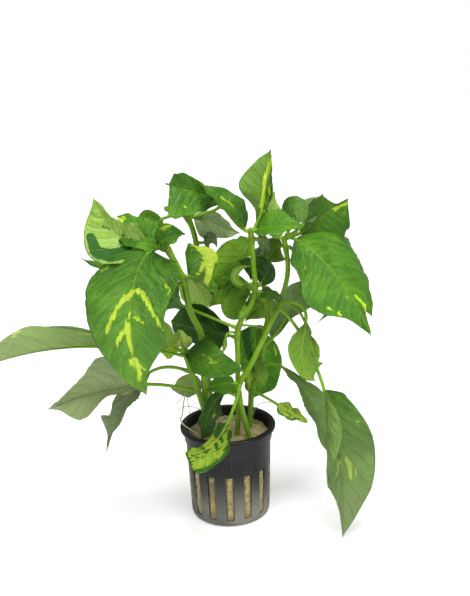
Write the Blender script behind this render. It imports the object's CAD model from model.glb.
"""Potted hygrophila: the looks of a marsh plant's cuttings in rockwool, in a slotted net pot.

Sizes are in metres unless a name or a table says millimetres. A heading of 0 points at the viewer, 90 to
the right, 180 away and -90 to the left; a rise of 90 points straight up.
"""
import logging
import math
import random
from collections.abc import Callable
from dataclasses import dataclass, field
from enum import Enum
from itertools import accumulate

import bmesh
import bpy
from mathutils import Matrix, Quaternion, Vector, noise


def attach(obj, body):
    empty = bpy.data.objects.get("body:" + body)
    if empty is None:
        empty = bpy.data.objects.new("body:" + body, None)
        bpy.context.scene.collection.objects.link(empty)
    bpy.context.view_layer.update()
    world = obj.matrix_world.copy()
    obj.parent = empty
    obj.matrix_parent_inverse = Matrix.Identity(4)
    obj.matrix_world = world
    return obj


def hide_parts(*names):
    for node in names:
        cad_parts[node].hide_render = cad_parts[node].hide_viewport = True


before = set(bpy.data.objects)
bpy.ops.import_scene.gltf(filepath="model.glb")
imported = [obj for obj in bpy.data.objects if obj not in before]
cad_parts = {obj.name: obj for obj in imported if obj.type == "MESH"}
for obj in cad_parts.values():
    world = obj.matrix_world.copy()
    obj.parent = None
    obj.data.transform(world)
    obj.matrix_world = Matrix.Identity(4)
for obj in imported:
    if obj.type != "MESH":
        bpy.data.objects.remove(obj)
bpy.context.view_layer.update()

log = logging.getLogger("hygrophila")

MM = 0.001

# How close together vertices are merged, and how close to an edge a place counts as on it, in metres.
WELD = 1e-6
NEAR = 1e-5

# A stem's radius, how far from its middle a leaf starts, and half a petiole's width.
STEM_RADIUS = 1.6 * MM
LEAF_OFFSET = 2.25 * MM
PETIOLE_HALF = 1.0 * MM

# The side veins of every blade, in its material and in its relief: how many of them there are, how far
# they sweep towards the tip, how they bend, how this fades along the blade, and how far the right ones
# are staggered.
SIDE_VEINS = 8.0
VEIN_SWEEP = 0.33
VEIN_BEND = 1.2
VEIN_FADE = 0.55
VEIN_STAGGER = 0.35

# The depth inside a mark, in millimetres, of a place that is far from any.
UNMARKED = -9.0

Colour = tuple[float, float, float]
Greens = tuple[Colour, Colour, Colour]
Triple = tuple[float, float, float]
Pair = tuple[float, float]
Value = object


class Graph:
    """Adds nodes to a node tree and links them."""

    def __init__(self, tree: bpy.types.NodeTree) -> None:
        """Keep the tree that the nodes go into."""
        self.tree = tree

    def feed(self, socket: bpy.types.NodeSocket, value: Value) -> None:
        """Link a socket to an input, or set the input's own value.

        Args:
            socket: The input.
            value: A socket to link from, a number, a vector or a colour.
        """
        if isinstance(value, bpy.types.NodeSocket):
            self.tree.links.new(value, socket)
        elif isinstance(value, tuple) and len(value) == 3 and socket.type == "RGBA":
            socket.default_value = (*value, 1)
        else:
            socket.default_value = value

    def node(self, kind: str, inputs: dict | None = None, **settings: object) -> bpy.types.Node:
        """Add a node.

        Args:
            kind: The node's type, without its ShaderNode.
            inputs: Values or sockets by the input's name or number.
            **settings: Properties of the node.

        Returns:
            The node.
        """
        made = self.tree.nodes.new("ShaderNode" + kind)
        for name, value in settings.items():
            setattr(made, name, value)
        self.fill(made, inputs or {})
        return made

    def fill(self, node: bpy.types.Node, inputs: dict) -> None:
        """Feed a node's inputs, which are given by name or number."""
        for key, value in inputs.items():
            self.feed(node.inputs[key], value)

    def math(self, operation: str, *values: Value, clamp: bool = False) -> bpy.types.NodeSocket:
        """Return what a Math node works out of its values, held between 0 and 1 if it is clamped."""
        inputs = dict(enumerate(values))
        return self.node("Math", inputs, operation=operation, use_clamp=clamp).outputs[0]

    def times(self, first: Value, second: Value) -> bpy.types.NodeSocket:
        """Return one value times another."""
        return self.math("MULTIPLY", first, second)

    def plus(self, first: Value, second: Value) -> bpy.types.NodeSocket:
        """Return the sum of two values."""
        return self.math("ADD", first, second)

    def remap(self, value: Value, low: float, high: float, first: Value = 0.0,
              last: Value = 1.0) -> bpy.types.NodeSocket:
        """Return a value that goes from first at low to last at high, easing in and out."""
        inputs = {0: value, 1: low, 2: high, 3: first, 4: last}
        return self.node("MapRange", inputs, interpolation_type="SMOOTHSTEP", clamp=True).outputs[0]

    def stretched(self, vector: Value, scale: Triple) -> bpy.types.NodeSocket:
        """Return the vector with its parts times a scale each."""
        return self.node("VectorMath", {0: vector, 1: scale}, operation="MULTIPLY").outputs[0]

    def parts(self, vector: Value) -> bpy.types.bpy_prop_collection:
        """Return a vector's three parts."""
        return self.node("SeparateXYZ", {0: vector}).outputs

    def noise(self, vector: Value, scale: Value, detail: float = 3.0, roughness: float = 0.55,
              distortion: float = 0.0) -> bpy.types.NodeSocket:
        """Return a noise at a place: how fine it is, its finer layers, their strength and its bending."""
        inputs = {"Vector": vector, "Scale": scale, "Detail": detail, "Roughness": roughness,
                  "Distortion": distortion}
        return self.node("TexNoise", inputs).outputs["Fac"]

    def mix(self, share: Value, first: Value, second: Value) -> bpy.types.NodeSocket:
        """Return two colours mixed by a share of the second."""
        return self.node("Mix", {0: share, 6: first, 7: second}, data_type="RGBA").outputs[2]

    def tinted(self, colour: Value, *layers: tuple[Value, float, Value]) -> Value:
        """Lay colours over a colour, one after the other.

        Args:
            colour: The colour at the bottom.
            *layers: For each layer its mask, how much of it shows, and its colour.

        Returns:
            The colour that comes of them.
        """
        for mask, amount, over in layers:
            colour = self.mix(self.times(mask, amount), colour, over)
        return colour

    def number(self, name: str) -> bpy.types.NodeSocket:
        """Return one of the mesh's attributes as a number."""
        return self.node("Attribute", attribute_name=name).outputs["Fac"]

    def flat(self) -> bpy.types.NodeSocket:
        """Return the place on the piece when it is laid out flat, in centimetres."""
        return self.node("Attribute", attribute_name="flat").outputs["Vector"]

    def own_place(self) -> bpy.types.NodeSocket:
        """Return the place in the object's own coordinates."""
        return self.node("TexCoord").outputs["Object"]

    def bump(self, height: Value, strength: float, distance: float) -> bpy.types.NodeSocket:
        """Return the normal of a bumped surface, its distance in metres."""
        inputs = {"Height": height, "Strength": strength, "Distance": distance}
        return self.node("Bump", inputs).outputs["Normal"]


class Effect:
    """A node group that several materials share, built once."""

    name = "effect"
    inputs: tuple[str, ...] = ()
    outputs: tuple[str, ...] = ()

    def build(self, graph: Graph, given: dict) -> dict:
        """Lay out the group's nodes.

        Args:
            graph: The group's graph.
            given: The group's inputs by name.

        Returns:
            The sockets that feed the group's outputs, by name.
        """
        raise NotImplementedError

    def tree(self) -> bpy.types.NodeTree:
        """Return the group's tree, made at its first use."""
        if self.name in bpy.data.node_groups:
            return bpy.data.node_groups[self.name]
        made = bpy.data.node_groups.new(self.name, "ShaderNodeTree")
        for way, names in (("INPUT", self.inputs), ("OUTPUT", self.outputs)):
            for name in names:
                made.interface.new_socket(name, in_out=way, socket_type="NodeSocketFloat")
        entry = made.nodes.new("NodeGroupInput")
        end = made.nodes.new("NodeGroupOutput")
        given = {name: entry.outputs[name] for name in self.inputs}
        for name, socket in self.build(Graph(made), given).items():
            made.links.new(socket, end.inputs[name])
        return made

    def place(self, graph: Graph, **inputs: Value) -> bpy.types.bpy_prop_collection:
        """Put the group into a material and return its outputs."""
        return graph.node("Group", inputs, node_tree=self.tree()).outputs


class BladeVeins(Effect):
    """The midrib, the side veins that sweep towards the tip, and the net between them."""

    name = "blade_veins"
    outputs = ("Midrib", "Laterals", "Net", "Grooves", "Ridges", "Height")

    @staticmethod
    def lines(graph: Graph, phase: Value, core: float, edge: float, inside: Value) -> bpy.types.NodeSocket:
        """Return a mask, held to another, of the lines at whole phases, which fade from core to edge."""
        return graph.times(graph.remap(graph.math("PINGPONG", phase, 0.5), core, edge, 1.0, 0.0), inside)

    def build(self, graph: Graph, given: dict) -> dict:
        """Lay out the veins from the blade's own along and across."""
        along, across, flat = graph.number("along"), graph.number("across"), graph.flat()
        out = graph.math("ABSOLUTE", across)
        sweep = graph.times(graph.math("POWER", out, VEIN_BEND), VEIN_SWEEP)
        sweep = graph.times(sweep, graph.math("MULTIPLY_ADD", along, -VEIN_FADE, 1.0))
        wander = graph.times(graph.noise(flat, 1.3, 2.0), 0.03)
        start = graph.plus(graph.math("SUBTRACT", along, sweep), wander)
        shift = graph.times(graph.math("GREATER_THAN", across, 0.0), VEIN_STAGGER)
        phase = graph.math("MULTIPLY_ADD", start, SIDE_VEINS, shift)
        below = graph.math("FRACT", phase)
        inside = graph.remap(out, 0.75, 0.98, 1.0, 0.25)
        laterals = self.lines(graph, phase, 0.015, 0.06, inside)
        trough = self.lines(graph, graph.math("SUBTRACT", below, 0.1), 0.02, 0.1, inside)
        crest = self.lines(graph, graph.plus(below, 0.16), 0.02, 0.16, inside)
        sideways, _, seed = graph.parts(flat)
        reach = graph.math("MULTIPLY_ADD", along, -0.05, 0.085)
        away = graph.math("DIVIDE", graph.math("ABSOLUTE", sideways), reach)
        midrib = graph.math("SUBTRACT", 1.0, away, clamp=True)
        cells = graph.node("TexVoronoi", {"Vector": flat, "Scale": 4.2, "Randomness": 0.9},
                           feature="DISTANCE_TO_EDGE").outputs["Distance"]
        net = graph.remap(cells, 0.0, 0.13, 1.0, 0.0)
        spot = graph.node("CombineXYZ", {0: graph.times(start, 38.0), 1: graph.times(across, 5.0), 2: seed})
        folds = graph.noise(spot.outputs[0], 1.0, 3.0, 0.6, 0.5)
        crumpled = graph.remap(along, 0.05, 0.75, 1.0, 0.3)
        grooves = graph.times(graph.remap(folds, 0.38, 0.46, 1.0, 0.0), crumpled)
        grooves = graph.math("MAXIMUM", grooves, graph.times(trough, 0.55))
        ridges = graph.times(graph.remap(folds, 0.54, 0.62), crumpled)
        ridges = graph.math("MAXIMUM", ridges, graph.times(crest, 0.6))
        dips = graph.math("MAXIMUM", graph.times(laterals, 0.8), midrib)
        height = graph.math("SUBTRACT", graph.times(cells, 0.7), dips)
        height = graph.plus(height, graph.times(graph.times(folds, crumpled), 3.0))
        return dict(zip(self.outputs, (midrib, laterals, net, grooves, ridges, height)))


class BladeMarks(Effect):
    """Feathered yellow marks and dark patches, which spread along the fine veins from where they are laid."""

    name = "blade_marks"
    inputs = ("Freckles",)
    outputs = ("Mark", "Core", "Dark", "Speck")

    def build(self, graph: Graph, given: dict) -> dict:
        """Lay out the marks from the blade's mark and dark attributes."""
        flat = graph.flat()
        spikes = graph.noise(graph.stretched(flat, (6.0, 1.0, 1.0)), 1.0, 2.0, 0.55, 0.7)
        grain = graph.math("MULTIPLY_ADD", graph.noise(flat, 14.0, 2.0, 0.6), 0.8, -0.4)
        out = graph.times(graph.math("MAXIMUM", graph.math("SUBTRACT", spikes, 0.52), 0.0), 6.5)
        back = graph.times(graph.math("MINIMUM", graph.math("SUBTRACT", spikes, 0.5), 0.0), 2.5)
        ragged = graph.plus(graph.plus(out, back), grain)
        mark = graph.plus(graph.number("mark"), ragged)
        dark = graph.plus(graph.number("dark"), graph.times(ragged, 0.6))
        freckle = graph.noise(graph.stretched(flat, (5.0, 2.4, 1.0)), 1.0, 4.0, 0.7, 0.3)
        speck = graph.remap(graph.plus(freckle, given["Freckles"]), 0.62, 0.66)
        return {"Mark": graph.remap(mark, -0.15, 0.25), "Core": graph.remap(mark, 0.5, 1.3),
                "Dark": graph.remap(dark, -0.15, 0.25), "Speck": speck}


class Mottle(Effect):
    """Slow and fine changes of tone over a piece, read where it stands."""

    name = "mottle"
    inputs = ("Size",)
    outputs = ("Broad", "Fine")

    def build(self, graph: Graph, given: dict) -> dict:
        """Lay out two noises over the object's own coordinates."""
        place = graph.own_place()
        broad = graph.noise(place, given["Size"], 3.0, 0.5)
        fine = graph.noise(place, graph.times(given["Size"], 11.0), 4.0, 0.65)
        return {"Broad": graph.remap(broad, 0.3, 0.7), "Fine": graph.remap(fine, 0.3, 0.7)}


class Finish:
    """A finish that is made a material once."""

    name: str

    def material(self) -> bpy.types.Material:
        """Return the finish's material, made at its first use."""
        if self.name in bpy.data.materials:
            return bpy.data.materials[self.name]
        made = bpy.data.materials.new(self.name)
        made.use_nodes = True
        self.dress(Graph(made.node_tree), made.node_tree.nodes["Principled BSDF"])
        return made

    def dress(self, graph: Graph, shader: bpy.types.Node) -> None:
        """Lay out the finish's nodes.

        Args:
            graph: The material's graph.
            shader: Its Principled shader.
        """
        raise NotImplementedError


@dataclass(frozen=True)
class LeafFinish(Finish):
    """A leaf's upper side or underside: its greens, veins, marks and gloss."""

    name: str
    deep: Colour
    light: Colour
    vein: Colour
    mark: Colour = (0.56, 0.76, 0.035)
    mark_core: Colour = (0.78, 0.88, 0.16)
    mark_groove: Colour = (0.32, 0.55, 0.02)
    mark_mottle: Colour = (0.42, 0.62, 0.025)
    mark_vein: Colour = (0.80, 0.90, 0.30)
    haze: Colour = (0.36, 0.43, 0.20)
    patch: Colour = (0.02, 0.10, 0.008)
    rim: Colour = (0.10, 0.26, 0.015)
    freckles: float = -1.0
    roughness: float = 0.38
    coat: float = 0.10
    through: float = 0.2
    vein_show: float = 0.22
    relief: float = 0.8
    raised: float = 1.0
    groove: float = 0.5
    ridge: float = 0.35

    def dress(self, graph: Graph, shader: bpy.types.Node) -> None:
        """Lay out the greens, what lies over them, the gloss, and the light that comes through."""
        veins = BladeVeins().place(graph)
        marks = BladeMarks().place(graph, Freckles=self.freckles)
        mottle = Mottle().place(graph, Size=55.0)
        out = graph.math("ABSOLUTE", graph.number("across"))
        dim = tuple(0.35 * part for part in self.deep)
        sheen = tuple(part * scale for part, scale in zip(self.light, (1.35, 1.3, 2.6)))
        bright = graph.tinted(
            self.mark,
            (marks["Core"], 0.35, self.mark_core),
            (veins["Grooves"], 0.55, self.mark_groove),
            (mottle["Fine"], 0.3, self.mark_mottle),
            (veins["Laterals"], 0.4, self.mark_vein),
        )
        colour = graph.tinted(
            graph.mix(mottle["Broad"], self.deep, self.light),
            (mottle["Fine"], 0.3, self.deep),
            (veins["Ridges"], self.ridge, sheen),
            (veins["Grooves"], self.groove, dim),
            (veins["Net"], 0.3 * self.vein_show, self.vein),
            (graph.remap(out, 0.93, 1.0), 0.6, self.rim),
            (marks["Speck"], 1.0, self.patch),
            (marks["Dark"], 1.0, self.patch),
            (veins["Laterals"], self.vein_show, self.vein),
            (veins["Midrib"], 0.9, self.vein),
            (marks["Mark"], 1.0, bright),
            (graph.number("haze"), 1.0, self.haze),
        )
        brightness = graph.plus(graph.number("tone"), 1.0)
        shade = graph.node("HueSaturation", {"Value": brightness, "Color": colour}).outputs[0]
        worn = graph.math("MULTIPLY_ADD", mottle["Fine"], 0.16, self.roughness - 0.06)
        height = graph.math("MULTIPLY_ADD", mottle["Fine"], 0.3, graph.times(veins["Height"], self.raised))
        normal = graph.bump(height, self.relief, 0.6 * MM)
        graph.fill(shader, {
            "Base Color": shade,
            "Roughness": graph.math("MULTIPLY_ADD", veins["Laterals"], 0.08, worn),
            "Coat Weight": self.coat,
            "Coat Roughness": 0.16,
            "Specular IOR Level": 0.22,
            "Normal": normal,
        })
        glow = graph.node("HueSaturation", {"Hue": 0.485, "Saturation": 1.05, "Value": 1.5, "Color": shade})
        lit = graph.node("BsdfTranslucent", {"Color": glow.outputs[0], "Normal": normal})
        both = graph.node("MixShader", {0: self.through, 1: shader.outputs[0], 2: lit.outputs[0]})
        graph.feed(graph.tree.nodes["Material Output"].inputs["Surface"], both.outputs[0])


@dataclass(frozen=True)
class RodFinish(Finish):
    """Stems, petioles and roots: streaks lengthwise, darker joints and a soft sheen."""

    name: str
    light: Colour
    deep: Colour
    joint: Colour
    roughness: float = 0.42
    foot: Colour = (0.10, 0.22, 0.02)
    foot_height: float = 0.0

    def dress(self, graph: Graph, shader: bpy.types.Node) -> None:
        """Lay out the streaks, the specks, the joints and the darker foot."""
        flat, mottle = graph.flat(), Mottle().place(graph, Size=40.0)
        streaks = graph.noise(graph.stretched(flat, (30.0, 1.6, 30.0)), 1.0, 3.0, 0.6)
        specks = graph.remap(graph.noise(flat, 22.0, 2.0, 0.5), 0.68, 0.74)
        colour = graph.tinted(
            graph.mix(graph.remap(streaks, 0.35, 0.65), self.light, self.deep),
            (mottle["Broad"], 0.45, self.deep),
            (specks, 0.25, self.joint),
            (graph.number("joint"), 0.55, self.joint),
        )
        if self.foot_height:
            height = graph.parts(graph.own_place())[2]
            low = graph.remap(height, 0.6 * self.foot_height, self.foot_height, 0.75, 0.0)
            colour = graph.mix(low, colour, self.foot)
        graph.fill(shader, {
            "Base Color": colour,
            "Roughness": graph.math("MULTIPLY_ADD", streaks, 0.2, self.roughness - 0.1),
            "Coat Weight": 0.08,
            "Coat Roughness": 0.25,
            "Specular IOR Level": 0.2,
            "Subsurface Weight": 0.12,
            "Subsurface Radius": (0.001, 0.0015, 0.0004),
            "Normal": graph.bump(streaks, 0.5, 0.2 * MM),
        })


@dataclass(frozen=True)
class PotFinish(Finish):
    """Black moulded plastic: satin, with a faint orange-peel skin, scuffs and a dusty foot."""

    name: str = "pot_plastic"
    body: Colour = (0.005, 0.005, 0.005)
    dust: Colour = (0.25, 0.24, 0.21)
    dust_height: float = 34 * MM
    roughness: float = 0.34

    def dress(self, graph: Graph, shader: bpy.types.Node) -> None:
        """Lay out the plastic's dust, scuffs and skin."""
        place, mottle = graph.own_place(), Mottle().place(graph, Size=60.0)
        low = graph.remap(graph.parts(place)[2], 0.0, self.dust_height, 1.0, 0.0)
        film = graph.times(low, graph.math("MULTIPLY_ADD", mottle["Broad"], 0.5, 0.5))
        scuffs = graph.noise(graph.stretched(place, (900.0, 900.0, 60.0)), 1.0, 3.0, 0.6)
        scuffs = graph.remap(scuffs, 0.62, 0.75)
        worn = graph.math("MULTIPLY_ADD", mottle["Fine"], 0.1, self.roughness)
        graph.fill(shader, {
            "Base Color": graph.tinted(self.body, (film, 1.0, self.dust), (scuffs, 0.12, self.dust)),
            "Roughness": graph.math("MULTIPLY_ADD", film, 0.4, worn),
            "Specular IOR Level": 0.3,
            "Normal": graph.bump(graph.noise(place, 1500.0, 2.0), 0.25, 0.08 * MM),
        })


@dataclass(frozen=True)
class WoolFinish(Finish):
    """Moist rockwool: matted tan fibres, olive where it is damp, with dark specks."""

    name: str = "rockwool_fibre"
    dry: Colour = (0.68, 0.57, 0.27)
    deep: Colour = (0.27, 0.21, 0.07)
    damp: Colour = (0.14, 0.12, 0.035)
    speck: Colour = (0.035, 0.022, 0.012)

    def dress(self, graph: Graph, shader: bpy.types.Node) -> None:
        """Lay out the wool's strands, stains, clumps and specks."""
        place, mottle = graph.own_place(), Mottle().place(graph, Size=130.0)
        strands = graph.noise(graph.stretched(place, (1.0, 1.0, 2.6)), 900.0, 4.0, 0.7, 1.2)
        grains = graph.noise(place, 700.0, 5.0, 0.75)
        clumps = graph.noise(place, 330.0, 3.0, 0.6, 0.8)
        colour = graph.tinted(
            graph.mix(graph.remap(strands, 0.38, 0.62), self.deep, self.dry),
            (mottle["Broad"], 0.35, self.deep),
            (graph.number("stain"), 0.8, self.damp),
            (graph.remap(clumps, 0.34, 0.46, 1.0, 0.0), 0.7, self.damp),
            (graph.remap(grains, 0.61, 0.67), 0.85, self.speck),
        )
        height = graph.plus(graph.plus(strands, graph.times(grains, 0.6)), graph.times(clumps, 1.6))
        graph.fill(shader, {
            "Base Color": colour,
            "Roughness": graph.remap(strands, 0.2, 0.8, 0.95, 0.75),
            "Sheen Weight": 0.15,
            "Normal": graph.bump(height, 0.9, 0.8 * MM),
        })


@dataclass(frozen=True)
class FloorFinish(Finish):
    """A plain white studio floor."""

    name: str = "floor_paint"
    colour: Colour = (0.94, 0.94, 0.94)

    def dress(self, graph: Graph, shader: bpy.types.Node) -> None:
        """Lay out the paint, which the camera sees glow more the further away it is."""
        place = graph.own_place()
        shade = tuple(part * 0.98 for part in self.colour)
        away = graph.node("VectorMath", {0: place}, operation="LENGTH").outputs["Value"]
        seen = graph.node("LightPath").outputs["Is Camera Ray"]
        graph.fill(shader, {
            "Base Color": graph.mix(graph.noise(place, 3.0, 2.0), self.colour, shade),
            "Roughness": 0.75,
            "Emission Color": graph.times(graph.remap(away, 0.35, 1.3, 0.32, 0.8), seen),
            "Emission Strength": 1.0,
        })


def both_sides(name: str, upper: Greens, under: Greens, over: dict | None = None,
               below: dict | None = None) -> tuple[LeafFinish, LeafFinish]:
    """Make the finishes of a kind of leaf.

    Args:
        name: The kind's name.
        upper: The upper side's deep and light greens and its veins' colour.
        under: Those of the underside.
        over: What else differs on the upper side.
        below: What differs from other undersides, which are dull, with veins that stand out.

    Returns:
        The finish of the upper side and that of the underside.
    """
    dull = {"roughness": 0.55, "coat": 0.03, "raised": -1.0, "vein_show": 0.4}
    return (LeafFinish(f"{name}_upper_side", *upper, **(over or {})),
            LeafFinish(f"{name}_underside", *under, **(dull | (below or {}))))


class Tone(Enum):
    """The kinds of leaf that the plant carries, each with its upper side and underside."""

    FRESH = both_sides("fresh", ((0.050, 0.185, 0.008), (0.120, 0.335, 0.014), (0.22, 0.44, 0.03)),
                       ((0.14, 0.29, 0.030), (0.20, 0.37, 0.05), (0.27, 0.43, 0.08)))
    BRIGHT = both_sides("bright", ((0.17, 0.36, 0.025), (0.27, 0.46, 0.055), (0.38, 0.58, 0.09)),
                        ((0.22, 0.40, 0.06), (0.30, 0.47, 0.09), (0.38, 0.55, 0.13)))
    DARK = both_sides("dark", ((0.014, 0.060, 0.003), (0.045, 0.135, 0.008), (0.09, 0.21, 0.018)),
                      ((0.07, 0.16, 0.018), (0.11, 0.22, 0.03), (0.17, 0.29, 0.05)),
                      {"through": 0.12, "coat": 0.14})
    GREY = both_sides("grey", ((0.12, 0.22, 0.05), (0.20, 0.31, 0.10), (0.26, 0.38, 0.14)),
                      ((0.18, 0.29, 0.08), (0.24, 0.35, 0.12), (0.31, 0.42, 0.17)),
                      {"roughness": 0.3, "coat": 0.25, "through": 0.12}, {"roughness": 0.5, "coat": 0.05})
    OLIVE = both_sides("olive", ((0.10, 0.22, 0.012), (0.16, 0.29, 0.025), (0.24, 0.38, 0.05)),
                       ((0.12, 0.25, 0.02), (0.19, 0.33, 0.045), (0.27, 0.41, 0.08)),
                       {"roughness": 0.5, "coat": 0.05})
    PALE = both_sides("pale", ((0.22, 0.38, 0.05), (0.34, 0.49, 0.10), (0.42, 0.56, 0.13)),
                      ((0.24, 0.36, 0.09), (0.33, 0.45, 0.16), (0.42, 0.53, 0.22)))
    YELLOW = both_sides("yellow", ((0.30, 0.50, 0.025), (0.50, 0.68, 0.045), (0.66, 0.78, 0.10)),
                        ((0.34, 0.47, 0.08), (0.46, 0.58, 0.12), (0.55, 0.65, 0.2)),
                        {"patch": (0.035, 0.16, 0.010), "freckles": 0.05},
                        {"patch": (0.10, 0.22, 0.03), "vein_show": 0.22})


def in_scene(name: str, data: bpy.types.ID) -> bpy.types.Object:
    """Make an object of its data and put it into the scene."""
    made = bpy.data.objects.new(name, data)
    bpy.context.scene.collection.objects.link(made)
    return made


def mesh_object(name: str, bm: bmesh.types.BMesh, *finishes: Finish) -> bpy.types.Object:
    """Make an object from a bmesh.

    Args:
        name: The object's name.
        bm: The mesh, which is freed.
        *finishes: The finishes of its material slots.

    Returns:
        The object.
    """
    mesh = bpy.data.meshes.new(name)
    bm.to_mesh(mesh)
    bm.free()
    for finish in finishes:
        mesh.materials.append(finish.material())
    return in_scene(name, mesh)


def plant_piece(name: str, bm: bmesh.types.BMesh, *finishes: Finish) -> bpy.types.Object:
    """Make an object from a bmesh, as mesh_object does, smooth shaded and riding on the frame."""
    obj = mesh_object(name, bm, *finishes)
    obj.data.shade_smooth()
    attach(obj, "root")
    return obj


def direction(heading: float, rise: float) -> Vector:
    """Return the unit vector of a heading and a rise in degrees."""
    turn, up = math.radians(heading), math.radians(rise)
    return Vector((math.cos(up) * math.sin(turn), -math.cos(up) * math.cos(turn), math.sin(up)))


def smooth_route(points: list[Vector], step: float) -> list[Vector]:
    """Lay points about a step apart on the smooth curve through the given ones.

    Args:
        points: The points to go through.
        step: About how far apart the new points are.

    Returns:
        The curve's points.
    """
    ends = [points[0] * 2 - points[1], *points, points[-1] * 2 - points[-2]]
    route = []
    for before, start, end, after in zip(ends, ends[1:], ends[2:], ends[3:]):
        spans = max(1, round((end - start).length / step))
        for i in range(spans):
            t = i / spans
            route.append(
                start
                + (end - before) * (t / 2)
                + (before * 2 - start * 5 + end * 4 - after) * (t * t / 2)
                + (start * 3 - before - end * 3 + after) * (t**3 / 2)
            )
    return [*route, points[-1]]


def in_metres(points: list[Triple]) -> list[Vector]:
    """Return points given in millimetres as vectors in metres."""
    return [Vector(point) * MM for point in points]


def bell(away: float, reach: float) -> float:
    """Return 1 at no distance, falling off smoothly past a reach."""
    return math.exp(-((away / reach) ** 2))


def ease(value: float, low: float, high: float) -> float:
    """Return 0 below low and 1 above high, easing between them."""
    share = min(max((value - low) / (high - low), 0.0), 1.0)
    return share * share * (3 - 2 * share)


def lengths(points: list[Vector]) -> list[float]:
    """Return how far along a route each of its points lies."""
    steps = ((end - start).length for start, end in zip(points, points[1:]))
    return list(accumulate(steps, initial=0.0))


def value_at(size: float, sizes: list[float], values: list[float]) -> float:
    """Find a value between known ones, on a straight line.

    Args:
        size: How far along the value lies.
        sizes: How far along the known values lie.
        values: The known values.

    Returns:
        The value.
    """
    i = max(j for j in range(len(sizes) - 1) if sizes[j] <= size + 1e-9)
    part = (size - sizes[i]) / (sizes[i + 1] - sizes[i])
    return values[i] + (values[i + 1] - values[i]) * part


def polar(spot: Vector) -> Pair:
    """Return a place's distance from the upright axis and its turn from the front, in radians."""
    return math.hypot(spot.x, spot.y), math.atan2(spot.y, spot.x) + math.pi / 2


def move_round(vert: bmesh.types.BMVert, radius: float, turn: float) -> None:
    """Move a vertex to a distance from the upright axis and a turn from the front."""
    turn -= math.pi / 2
    vert.co.x, vert.co.y = radius * math.cos(turn), radius * math.sin(turn)


def off_middle(turn: float, pitch: float) -> float:
    """Return how far a turn lies from the nearest of those that stand a pitch apart."""
    return (turn + pitch / 2) % pitch - pitch / 2


def add_turned(bm: bmesh.types.BMesh, profile: list[Pair], steps: int) -> None:
    """Turn a profile round the upright axis.

    Args:
        bm: The mesh that the body is added to.
        profile: The radii and heights of its outline, from axis to axis.
        steps: How many faces it has round the axis.
    """
    verts = [bm.verts.new((0, -radius, height)) for radius, height in profile]
    edges = [bm.edges.new(pair) for pair in zip(verts, verts[1:])]
    bmesh.ops.spin(bm, geom=verts + edges, cent=(0, 0, 0), axis=(0, 0, 1), angle=math.tau, steps=steps,
                   use_merge=True)
    bmesh.ops.remove_doubles(bm, verts=bm.verts, dist=WELD)


def vertex_layers(bm: bmesh.types.BMesh, *names: str) -> tuple[object, dict[str, object]]:
    """Make the vertex attributes that a mesh lacks.

    Args:
        bm: The mesh.
        *names: The names of the attributes that hold a number.

    Returns:
        The layer of the vector attribute flat, and those of the numbers by name.
    """
    kinds = bm.verts.layers
    if not kinds.float_vector.get("flat"):
        kinds.float_vector.new("flat")
    for name in names:
        if not kinds.float.get(name):
            kinds.float.new(name)
    return kinds.float_vector["flat"], {name: kinds.float[name] for name in names}


@dataclass
class Rod:
    """A closed rod along a route: a grid wrapped round it, its seam merged and its ends drawn in.

    Its mesh carries the attribute flat, the place on the straightened rod in centimetres, and joint,
    which is 1 at a joint.
    """

    route: list[Vector]
    radius: Callable[[float], float]
    sides: int = 10
    ridges: int = 0
    ridge_depth: float = 0.0
    top_squash: float = 1.0
    up: Vector = field(default_factory=lambda: Vector((0, -1, 0)))
    joints: tuple[float, ...] = ()
    joint_reach: float = 1.3 * MM
    seed: float = 0.0

    def frames(self) -> list[tuple[Vector, Vector, Vector, float]]:
        """Carry two directions across the rod along its route.

        Returns:
            For each point its place, its two cross directions and its length along the rod.
        """
        heading = (self.route[1] - self.route[0]).normalized()
        up = (self.up - heading * self.up.dot(heading)).normalized()
        made = []
        for i, (place, size) in enumerate(zip(self.route, lengths(self.route))):
            ahead = self.route[min(i + 1, len(self.route) - 1)] - self.route[max(i - 1, 0)]
            turned = ahead.normalized()
            up = heading.rotation_difference(turned) @ up
            heading = turned
            made.append((place, heading.cross(up).normalized(), up.normalized(), size))
        return made

    def add_to(self, bm: bmesh.types.BMesh, material: int = 0) -> list[bmesh.types.BMVert]:
        """Add the rod to a mesh.

        Args:
            bm: The mesh.
            material: The material slot of its faces.

        Returns:
            The rod's vertices.
        """
        frames = self.frames()
        rows = len(frames) - 1
        flat, layers = vertex_layers(bm, "joint")
        made = bmesh.ops.create_grid(bm, x_segments=self.sides, y_segments=rows, size=1)["verts"]
        for vert in made:
            turn = (vert.co.x + 1) * math.pi
            place, right, up, size = frames[round((vert.co.y + 1) / 2 * rows)]
            radius = self.radius(size / max(frames[-1][3], 1e-9))
            radius *= 1 + self.ridge_depth * math.cos(self.ridges * turn)
            out, high = math.cos(turn) * radius, math.sin(turn) * radius
            if high > 0:
                high *= self.top_squash
            joint = max((bell(place.z - height, self.joint_reach) for height in self.joints), default=0.0)
            vert[flat] = Vector((out * 100, size * 100 + self.seed, high * 100))
            vert[layers["joint"]] = joint
            vert.co = place + right * out + up * high
        for face in {face for vert in made for face in vert.link_faces}:
            face.material_index = material
        bmesh.ops.remove_doubles(bm, verts=made, dist=WELD)
        return [vert for vert in made if vert.is_valid]


def rounded_rod(radius: float, ends: float = 0.02) -> Callable[[float], float]:
    """Return the radius along a rod whose ends are drawn in to a point over a share of its length."""
    def at(share: float) -> float:
        """Return the radius at a share of the length."""
        edge = min(share, 1 - share) / ends
        return radius * (math.sqrt(max(0.0, 1 - (1 - edge) ** 2)) if edge < 1 else 1.0)
    return at


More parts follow.
